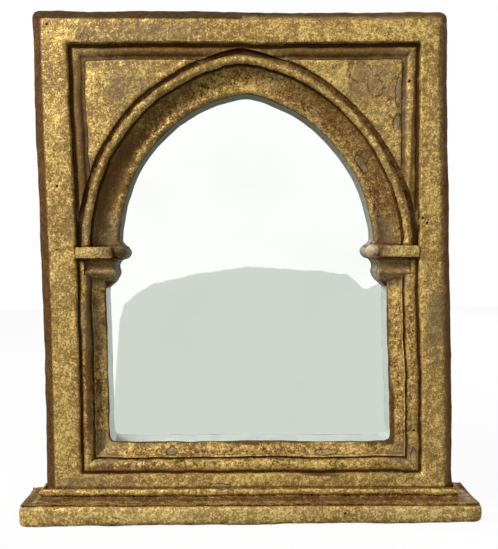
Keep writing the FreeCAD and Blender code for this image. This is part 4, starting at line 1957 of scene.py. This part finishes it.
@dataclass(frozen=True)
class Gilding:
    """Old gold leaf on gesso, pale on the crests as worn leaf with a painted highlight, and brown in the
    hollows as soiling with painted shade.

    The limits of lines and edges are in millimetres from the line of the frame that they follow.
    """

    layout: Layout
    finish: HandFinish
    members: FrameMembers
    pale_leaf: Colour = (229, 197, 118)
    yellow_leaf: Colour = (186, 152, 78)
    leaf: Colour = (160, 126, 68)
    red_leaf: Colour = (142, 103, 55)
    pit: Colour = (74, 49, 20)
    # Grey-brown film, and painted shade in places.
    dust: Colour = (124, 104, 76)
    brown: Colour = (98, 69, 32)
    umber: Colour = (78, 51, 21)
    # Painted grey-green of light thrown back by the glass, on deep walls above the neck.
    grey: Colour = (128, 130, 116)
    rebate_white: Colour = (254, 255, 253)
    rebate_pale: Colour = (182, 188, 182)
    # Painted shade of the left bulb.
    soot: Colour = (80, 70, 52)
    # Bare gesso with painted light, for the right bulb.
    chalk: Colour = (198, 186, 164)
    worn_leaf: Colour = (240, 214, 146)
    gesso: Colour = (146, 132, 104)
    edge_brown: Colour = (58, 34, 10)
    edge_gold: Colour = (130, 88, 38)
    edge_dark: Colour = (24, 12, 2)
    raw_wood: Colour = (138, 102, 62)
    raw_dark: Colour = (98, 69, 40)
    base_roll: Limits = (-3.8, -2.6, -0.4, 0.2)
    base_seam: Limits = (-0.5, 0.0, 0.9, 1.8)
    base_foot: Pair = (-7.9, -7.5)
    base_fillet: Pair = (-7.3, -6.9)
    base_cove: Pair = (-6.8, -6.2)
    base_cove_end: Pair = (-5.6, -3.8)
    hood_outer: Limits = (1.6, 3.2, 5.5, 6.5)
    over_abacus: Limits = (-0.5, 0.3, 0.9, 1.9)
    under_abacus: Limits = (-2.4, -1.2, -0.1, 0.5)
    capital_reach: Limits = (70.0, 71.0, 103.0, 104.5)
    opening_reach: Pair = (90.0, 91.0)
    jamb_edge: Pair = (8.5, 8.8)
    arch_edge: Pair = (9.2, 9.8)
    jamb_rebate: Pair = (9.8, 10.2)
    arch_rebate: Pair = (10.8, 11.6)
    left_rebate: Pair = (-84.0, -82.0)

    def gold(self, g: Ground, rubbed_and_lit: Value, bright: Value, pits: Value) -> Socket:
        """Lays the leaf, pale on its grain and dark in its pits, and pale on its crests and on the roll
        of the base as worn leaf with a painted highlight.

        Args:
            g: Ground of the material.
            rubbed_and_lit: Worn leaf, and painted highlights in places.
            bright: Bright grains.
            pits: Dark grains.

        Returns:
            The colour.
        """
        s = g.s
        # Pale leaf on the crests and the roll of the base: worn leaf with a painted highlight.
        roll = g.over_base.line(self.layout.base_top, self.base_roll)
        crest = s.attribute("crest").most(roll * 0.7)
        colour = s.blend(g.patch.ramp(0.40, 0.60) * 0.9, self.leaf, self.red_leaf)
        colour = s.blend(rubbed_and_lit * 0.6, colour, self.yellow_leaf)
        colour = s.blend(bright * 0.9, colour, self.pale_leaf)
        colour = s.blend(pits * 0.95, colour, self.pit)
        return s.blend(crest * (0.2 + bright * 0.5), colour, self.pale_leaf)

    def dirt(self, g: Ground, colour: Socket, rubbed_and_lit: Value, bright: Value) -> tuple[Socket, Value]:
        """Adds brown in hollows as soiling with painted shade, painted shade under the hood roll, brown
        on the outer side of the hood, soiling and painted shade in listed places, then a grey-brown film
        with painted shade in places.

        Args:
            g: Ground of the material.
            colour: Colour so far.
            rubbed_and_lit: Worn leaf and painted highlights, which take away some of the brown.
            bright: Bright grains.

        Returns:
            The colour, and the share of the brown in hollows, soiling with painted shade.
        """
        s, lay = g.s, self.layout
        # Brown in hollows: soiling with painted shade.
        grime_and_shade = (s.attribute("hollow") + (g.cloud - 0.5) * 0.28).ramp(0.1, 0.9)
        colour = s.blend(grime_and_shade * (0.65 - rubbed_and_lit * 0.4), colour, self.brown)
        # Painted shade on the band under the hood roll.
        colour = s.blend(s.attribute("under") * (0.7 - rubbed_and_lit * 0.45), colour, self.brown)
        reach = abs(g.across) + lay.arch_centre
        rise = (g.z - lay.springing).most(0)
        radius = (reach * reach + rise * rise).root()
        outer = radius.line(lay.archivolt_radius, self.hood_outer) * g.z.past(lay.springing, (1, 3))
        colour = s.blend(outer * (0.75 - bright * 0.35), colour, self.brown)
        # Soiling, and painted shade in the listed places.
        grimy_and_shaded = g.within(GRIMY_AND_SHADED_PLACES, g.cloud, 0.6, 1.15)
        colour = s.blend(grimy_and_shaded * 0.84, colour, self.brown)
        # A grey-brown film at random, and painted shade in the listed places.
        settled_dust_and_shade = g.within(DUSTY_AND_SHADED_PLACES, g.cloud, 0.3, 1.1)
        dust_and_shade = (g.cloud * 0.5 + g.patch * 0.5).ramp(0.54, 0.68).most(settled_dust_and_shade)
        return s.blend(dust_and_shade * (0.55 - grimy_and_shaded * 0.3), colour, self.dust), grime_and_shade

    def dark_lines(self, g: Ground, colour: Socket) -> tuple[Socket, Value]:
        """Darkens nooks, walls, the cove and seam of the base and a line above each abacus, and paints a
        shadow under each abacus and shade in the shaded places.

        Args:
            g: Ground of the material.
            colour: Colour so far.

        Returns:
            The colour, and the share of the dark.
        """
        s, lay = g.s, self.layout
        base = lay.base_top
        fillet = g.over_base.past(base, self.base_fillet) - g.over_base.past(base, self.base_cove)
        cove = g.over_base.past(base, self.base_foot) - fillet * 0.55
        cove = cove * (1 - g.over_base.past(base, self.base_cove_end))
        # A dark line above the abacus and a painted shadow under it.
        above = g.z.line(lay.springing, self.over_abacus)
        below = g.z.line(lay.abacus_foot, self.under_abacus)
        beside = abs(g.x).line(0, self.capital_reach)
        nook = (s.attribute("nook") + (g.scuff - 0.5) * 0.25).ramp(0.15, 0.95)
        dark = nook.most(s.attribute("wall") * 0.95).most(cove).most(above.most(below) * beside)
        # Painted shade at the capitals, and the crack under the sill bead.
        dark = dark.most(g.within(SHADED_PLACES, g.ragged, 0.5, 1.2))
        dark = dark.most(g.over_base.line(base, self.base_seam) * 0.85)
        return s.blend(dark * 0.8, colour, self.umber), dark

    def capitals(self, g: Ground, colour: Socket, bright: Value, dark: Value) -> Socket:
        """Brightens the worn blocks and plinth, paints the right bulb pale as bare gesso with painted
        light, and paints shade on the left bulb.

        Args:
            g: Ground of the material.
            colour: Colour so far.
            bright: Bright grains.
            dark: Share of the dark.

        Returns:
            The colour.
        """
        s = g.s
        worn = g.within(WORN_PLACES, g.cloud, 0.6, 1.1)
        colour = s.blend(worn * (1 - dark) * (0.1 + bright * 0.45), colour, self.worn_leaf)
        # Bare gesso with painted light on the right bulb.
        chalk_and_light = g.within(CHALKY_AND_LIT_PLACES, g.ragged, 0.8, 1.1)
        colour = s.blend(chalk_and_light * (0.15 + g.grain * 0.6), colour, self.chalk)
        # Painted shade on the left bulb.
        bulb_shade = g.within(SHADED_BULB_PLACES, g.ragged, 0.6, 1.2)
        return s.blend(bulb_shade * 0.9, colour, self.soot)

    def opening(self, g: Ground, colour: Socket) -> tuple[Socket, Value]:
        """Paints shade on the inner edge of the opening and paints the rebate behind it pale; above the
        foot of the neck the deep walls get a painted grey-green of light thrown back by the glass.

        Args:
            g: Ground of the material.
            colour: Colour so far.

        Returns:
            The colour, and the share of the dark edge.
        """
        s, lay = g.s, self.layout
        inside = g.z.past(lay.sill_foot, (0, 1)) * (1 - abs(g.x).past(0, self.opening_reach))
        straight = 1 - g.z.past(lay.neck_foot, (-1, 0))
        # Painted shade on the inner edge of the lip.
        edge = g.y.past(lay.face_y, self.jamb_edge) * straight
        edge = edge.most(g.y.past(lay.face_y, self.arch_edge)) * inside
        deep = g.y.past(lay.face_y, self.jamb_rebate) * straight
        deep = deep.most(g.y.past(lay.face_y, self.arch_rebate)) * inside
        lining = s.blend(g.x.past(0, self.left_rebate), self.rebate_white, self.rebate_pale)
        # Above the foot of the neck: painted grey-green of light thrown back by the glass.
        lining = s.blend(g.z.past(lay.neck_foot, (0, 1)), lining, self.grey)
        colour = s.blend(edge * 0.85, colour, self.umber)
        return s.blend(deep * 0.95, colour, lining), edge

    def chips(self, g: Ground, colour: Socket) -> tuple[Socket, Value, Value]:
        """Bares the gesso in chips and draws the rims of chips and blisters.

        Args:
            g: Ground of the material.
            colour: Colour so far.

        Returns:
            The colour, the share of the chips and the share of the rims.
        """
        s = g.s
        front = 1 - g.y.past(self.layout.seat_y, (-4, -2))
        bare = g.distance(BARE_PLACES, g.ragged)
        blister = g.distance(BLISTERS, g.ragged)
        chip = (1 - bare.ramp(0.92, 1.0)) * front
        lip = bare.window((0.84, 0.98, 1.0, 1.22))
        crack = blister.window((0.86, 0.98, 1.0, 1.16))
        rims = lip.most(crack * 0.8) * front
        colour = s.blend(chip * (0.2 + g.grain * 0.5), colour, self.gesso)
        return s.blend(rims * 0.75, colour, self.pit), chip, rims

    def outside(self, g: Ground, colour: Socket) -> tuple[Socket, Value]:
        """Stains the bevelled outer edges and bares the wood of the back.

        Args:
            g: Ground of the material.
            colour: Colour so far.

        Returns:
            The colour, and the share of edges and back.
        """
        s, lay, members = g.s, self.layout, self.members
        half = lay.body_half - members.bevel_width
        top = lay.frame_top - members.bevel_width
        slant = g.z.ramp(members.slant_start * lay.springing, top) * members.left_slant
        past_side = (g.across - half).most(0 - g.across - half - slant)
        past_top = g.z - top + g.across * (members.top_fall / half)
        past = past_side.most(past_top) / MM + (g.scuff - 0.5) * 1.8
        right = g.across.past(0, (-1, 1))
        rim = past.ramp(-0.9, 0.9) * (1 - right) + past.ramp(-1.2, 4.5) * right
        rim = rim * g.over_base.past(lay.base_top, (-1, 1))
        streak = (g.scuff * 0.6 + g.grain * 0.4).ramp(0.42, 0.62) * 0.5 + g.across.ramp(0, half) * 0.5
        stained = s.blend(streak, self.edge_brown, self.edge_gold)
        stained = s.blend(past_top.past(0, (-1, 1)) * 0.6, stained, self.edge_dark)
        colour = s.blend(rim * 0.96, colour, stained)
        back = g.y.past(lay.back_y, (-2, -0.7))
        stain = (g.scuff * 0.5 + g.patch * 0.3 + g.grain * 0.2).ramp(0.40, 0.60)
        wood = s.blend(stain, self.raw_wood, self.raw_dark)
        return s.blend(back * 0.94, colour, wood), rim.most(back)

    def material(self) -> Material:
        """Builds the material.

        Returns:
            The gilding.
        """
        s, material = Shader.for_material("aged_gilding")
        g = Ground.of(s, self.finish)
        # Worn leaf, and painted highlights in the listed places.
        rubbed_and_lit = g.within(RUBBED_AND_LIT_PLACES, g.cloud, 0.3, 1.1)
        speckle = g.lump * 0.38 + g.grain * 0.62 + (g.cloud - 0.5) * 0.28 + rubbed_and_lit * 0.02
        bright = speckle.ramp(0.51, 0.62)
        pits = 1 - speckle.ramp(0.41, 0.51)
        colour = self.gold(g, rubbed_and_lit, bright, pits)
        colour, grime_and_shade = self.dirt(g, colour, rubbed_and_lit, bright)
        colour, dark = self.dark_lines(g, colour)
        colour = self.capitals(g, colour, bright, dark)
        colour, edge = self.opening(g, colour)
        colour, chip, rims = self.chips(g, colour)
        colour, bare_wood = self.outside(g, colour)
        dull = bare_wood.most(dark).most(chip).most(grime_and_shade * 0.8).most(edge)
        height = g.lump * 0.75 + g.grain * 0.35 + g.cloud * 0.4 - chip * 0.5 - rims * 0.4
        s.surface({
            "Base Color": colour,
            "Roughness": 0.42 + dull * 0.25 + pits * 0.12,
            "Metallic": (0.12 + bright * 0.3) * (1 - dull),
            "Specular IOR Level": 0.1,
            "Normal": s.bump(height, 1.0, 0.65 * MM),
        })
        return material


@dataclass(frozen=True)
class SilveredGlass:
    """Old looking glass, a little green, with faint clouding."""

    silver: Colour = (252, 254, 252)
    cloud: Colour = (247, 250, 247)

    def material(self) -> Material:
        """Builds the material.

        Returns:
            The material.
        """
        s, material = Shader.for_material("silvered_glass")
        veil = s.noise(s.place(), 60 * MM, 2, 0.5)
        s.surface({
            "Base Color": s.blend(veil.ramp(0.45, 0.75), self.silver, self.cloud),
            "Metallic": 1.0,
            "Roughness": 0.004 + veil * 0.006,
        })
        return material


@dataclass(frozen=True)
class Softwood:
    """Aged softwood of the back panel, with its grain upright."""

    pale: Colour = (172, 136, 92)
    dark: Colour = (112, 78, 46)

    def material(self) -> Material:
        """Builds the material.

        Returns:
            The material.
        """
        s, material = Shader.for_material("aged_softwood")
        place = s.place()
        long = s.node("ShaderNodeMapping", {}, {"Vector": place, "Scale": (1, 1, 0.06)}).outputs[0]
        rings = s.noise(long, 7 * MM, 4, 0.6, 1.0)
        fibre = s.noise(long, 0.9 * MM, 3, 0.6)
        stain = s.noise(place, 60 * MM, 3, 0.6)
        colour = s.blend((rings * 0.7 + fibre * 0.3).ramp(0.38, 0.62), self.pale, self.dark)
        colour = s.blend(stain.ramp(0.45, 0.8) * 0.5, colour, self.dark)
        s.surface({
            "Base Color": colour,
            "Roughness": 0.62 + fibre * 0.25,
            "Normal": s.bump(fibre * 0.6 + rings * 0.4, 0.4, 0.4 * MM),
        })
        return material


@dataclass(frozen=True)
class Card:
    """Brown guard card behind the silvering."""

    base: Colour = (150, 120, 84)
    fleck: Colour = (110, 84, 56)

    def material(self) -> Material:
        """Builds the material.

        Returns:
            The material.
        """
        s, material = Shader.for_material("guard_card")
        fibre = s.noise(s.place(), 1.5 * MM, 4, 0.7)
        s.surface({
            "Base Color": s.blend(fibre.ramp(0.4, 0.7), self.base, self.fleck),
            "Roughness": 0.8 + fibre * 0.15,
        })
        return material


@dataclass(frozen=True)
class AgedMetal:
    """Handled metal with a dull film and brighter rubbed places."""

    name: str
    bright: Colour
    film: Colour
    rough: float

    def material(self) -> Material:
        """Builds the material.

        Returns:
            The material.
        """
        s, material = Shader.for_material(self.name)
        place = s.place()
        cloud = s.noise(place, 5 * MM, 4, 0.6)
        scratch = s.noise(place, 0.6 * MM, 3, 0.6)
        film = (cloud * 0.7 + scratch * 0.3).ramp(0.38, 0.62)
        s.surface({
            "Base Color": s.blend(film, self.bright, self.film),
            "Roughness": self.rough + film * 0.22,
            "Metallic": 1.0 - film * 0.25,
            "Normal": s.bump(scratch * 0.5 + cloud * 0.5, 0.2, 0.15 * MM),
        })
        return material


# Stage


@dataclass(frozen=True)
class Studio:
    """Pale floor, soft light and the camera.

    Mirrors show a low hill in front of the object. Its numbers are tangents of angles: across, and
    slopes of its outline.
    """

    layout: Layout
    floor_half: float = 2.0
    floor_white: Colour = (212, 212, 210)
    floor_haze: Colour = (206, 207, 204)
    floor_grey: Colour = (137, 137, 135)
    floor_glow: float = 0.93
    haze_size: float = 0.4
    haze_share: float = 0.2
    white: Colour = (255, 255, 255)
    far_tone: Colour = (210, 215, 208)
    hill_turn: float = 0.011
    hill_height: float = -0.0154
    hill_slopes: Pair = (0.155, 0.045)
    hill_round: float = 0.01414
    hill_left: tuple[Pair, ...] = ((-0.106, 0.42), (-0.13, 0.25), (-0.1405, 2.2))
    hill_right: tuple[Pair, ...] = ((0.118, 0.75), (0.136, -0.75), (0.141, -0.5))
    hill_ripples: tuple[tuple[float, float, float], ...] = ((0.09, 2, 0.008), (0.022, 3, 0.006))
    hill_side: Pair = (0.1291, 0.078)
    hill_side_bend: Pair = (0.0767, 0.25)
    hill_blur: float = 0.001
    least_ahead: float = 0.02
    fill: float = 0.34
    key_energy: float = 25.0
    key_size: float = 0.5
    key_from: tuple[float, float, float] = (-0.86, -0.72, 0.96)
    back_energy: float = 25.0
    back_size: float = 0.8
    back_from: tuple[float, float, float] = (0.9, 1.3, 0.9)
    distance: float = 0.520
    camera_x: float = -6.5 * MM
    camera_z: float = 161.3 * MM
    yaw: float = 0.85
    pitch: float = -1.42
    roll: float = -0.33
    focal_px: float = 864.2
    image_height: float = 549.0
    sensor_width: float = 36.0
    clip_start: float = 0.01
    aim_height: float = 160 * MM

    def floor(self) -> None:
        """Pale floor that takes the object's shadow."""
        deselect()
        bpy.ops.mesh.primitive_plane_add(size=2 * self.floor_half)
        floor = named("floor")
        s, material = Shader.for_material("pale_floor")
        path = s.node("ShaderNodeLightPath").outputs
        haze = s.noise(s.place(), self.haze_size, 2)
        white = s.blend(haze.ramp(0.3, 0.7) * self.haze_share, self.floor_white, self.floor_haze)
        pale = s.node("ShaderNodeBsdfDiffuse", {}, {"Color": white}).outputs[0]
        matt = s.node("ShaderNodeBsdfDiffuse", {}, {"Color": linear(self.floor_grey)}).outputs[0]
        bright = s.node("ShaderNodeEmission", {}, {"Color": (1, 1, 1, 1), "Strength": 1.0}).outputs[0]
        x, y, _ = s.axes(s.place())
        away = 2 * self.layout.seat_y - self.layout.face_y + self.distance - y
        azimuth = (x - self.camera_x) / away
        down = self.camera_z / away
        edge, fall = self.hill_side
        bend, turn = self.hill_side_bend
        side = azimuth + edge + down * fall - (bend - down).most(0) * turn
        clear = 1 - side.ramp(-self.hill_blur, self.hill_blur)
        tone = s.blend(clear, self.far_tone, self.white)
        green = s.node("ShaderNodeEmission", {}, {"Color": tone, "Strength": 1.0}).outputs[0]
        camera = Value(s, path["Is Camera Ray"])
        glossy = Value(s, path["Is Glossy Ray"])
        seen = s.mixed(camera, matt, s.mixed(self.floor_glow, pale, bright))
        s.node("ShaderNodeOutputMaterial", {}, {"Surface": s.mixed(glossy, seen, green)})
        floor.data.materials.append(material)

    def world(self) -> None:
        """Soft light from all round; white to the camera, with a low grey-green hill in mirrors."""
        world = bpy.data.worlds.new("soft_room")
        bpy.context.scene.world = world
        world.use_nodes = True
        s = Shader(world.node_tree)
        path = s.node("ShaderNodeLightPath").outputs
        direction = s.node("ShaderNodeTexCoord").outputs["Generated"]
        x, y, z = s.axes(direction)
        ahead = abs(y).most(self.least_ahead)
        azimuth = x / ahead - self.hill_turn
        fall, tilt = self.hill_slopes
        peak = (azimuth * azimuth + self.hill_round ** 2).root() - self.hill_round
        edge = azimuth * tilt - peak * fall + self.hill_height
        for size, detail, depth in self.hill_ripples:
            edge = edge + (s.noise(direction, size, detail) - 0.5) * depth
        for start, fall in self.hill_left:
            edge = edge - (start - azimuth).most(0) * fall
        for start, fall in self.hill_right:
            edge = edge - (azimuth - start).most(0) * fall
        low = 1 - (z / ahead - edge).ramp(-self.hill_blur, self.hill_blur)
        seen = s.blend(low * Value(s, path["Is Glossy Ray"]), self.white, self.far_tone)
        shown = Value(s, path["Is Camera Ray"]).most(Value(s, path["Is Glossy Ray"]))
        shown = shown.most(Value(s, path["Is Transmission Ray"]))
        bright = s.node("ShaderNodeBackground", {}, {"Color": seen, "Strength": 1.0}).outputs[0]
        fill = {"Color": (1, 1, 1, 1), "Strength": self.fill}
        soft = s.node("ShaderNodeBackground", {}, fill).outputs[0]
        s.node("ShaderNodeOutputWorld", {}, {"Surface": s.mixed(shown, soft, bright)})

    def lamp(self, name: str, offset: Sequence[float], energy: float, size: float) -> None:
        """Large soft lamp turned towards the object.

        Args:
            name: Name of the lamp.
            offset: Its place, from the middle of the object's front.
            energy: Its power in watts.
            size: Its side in metres.
        """
        deselect()
        target = Vector((0, self.layout.face_y, self.aim_height))
        place = target + Vector(offset)
        bpy.ops.object.light_add(type="AREA", location=place)
        lamp = bpy.context.active_object
        lamp.name = name
        lamp.data.energy = energy
        lamp.data.size = size
        lamp.rotation_euler = (target - place).to_track_quat("-Z", "Y").to_euler()

    def camera(self) -> None:
        """Camera at the height and slight turn of the photograph."""
        deselect()
        bpy.ops.object.camera_add()
        camera = bpy.context.active_object
        camera.name = "camera"
        yaw, pitch, roll = (math.radians(a) for a in (self.yaw, self.pitch, self.roll))
        level = math.cos(pitch)
        ahead = Vector((math.sin(yaw) * level, math.cos(yaw) * level, math.sin(pitch)))
        right = Vector((math.cos(yaw), -math.sin(yaw), 0))
        up = right.cross(ahead)
        across = right * math.cos(roll) + up * math.sin(roll)
        upward = up * math.cos(roll) - right * math.sin(roll)
        turn = Matrix((across, upward, -ahead)).transposed()
        camera.matrix_world = Matrix.Translation(
            (self.camera_x, self.layout.face_y - self.distance, self.camera_z)) @ turn.to_4x4()
        camera.data.sensor_width = self.sensor_width
        camera.data.lens = self.focal_px * self.sensor_width / self.image_height
        camera.data.clip_start = self.clip_start
        bpy.context.scene.camera = camera

    def build(self) -> None:
        """Sets up the whole stage."""
        bpy.context.scene.view_settings.view_transform = "Standard"
        self.floor()
        self.world()
        self.lamp("key_lamp", self.key_from, self.key_energy, self.key_size)
        self.lamp("back_lamp", self.back_from, self.back_energy, self.back_size)
        self.camera()


def dress_cad(nodes: dict[str, Piece]) -> None:
    """Puts finishes on the CAD nodes that stay as they are.

    Args:
        nodes: CAD nodes by name.
    """
    brass = AgedMetal("aged_brass", (196, 158, 88), (120, 88, 44), 0.32).material()
    steel = AgedMetal("dark_steel", (150, 146, 140), (84, 74, 64), 0.36).material()
    finishes = {
        "mirror_glass": (SilveredGlass().material(), Slot.MIRROR),
        "guard_sheet": (Card().material(), Slot.CARD),
        "back_panel": (Softwood().material(), Slot.BACK),
    }
    for name, node in nodes.items():
        if node.hide_render:
            continue
        if name in finishes:
            material, slot = finishes[name]
        elif "screws" in name or "brads" in name:
            material, slot = steel, Slot.STEEL
        else:
            material, slot = brass, Slot.BRASS
        node.data.materials.clear()
        node.data.materials.append(material)
        LOG.info("%s: %s", name, material.name)


def main() -> None:
    """Builds every sub-assembly, dresses it and sets the stage."""
    logging.basicConfig(level=logging.INFO, format="%(message)s")
    layout = Layout.from_frame()
    shop = Workshop(HandFinish(layout))
    members = FrameMembers(layout)
    for assembly in (members, GlassSurround(layout), ArchWork(layout), Capitals(layout), Base(layout)):
        assembly.build(shop)
    relief = ReliefMap(shop.pieces, layout)
    for piece in shop.pieces:
        relief.mark(piece)
    shop.dress(Gilding(layout, shop.finish, members).material())
    dress_cad(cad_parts)
    Studio(layout).build()


if __name__ == "__main__":
    main()
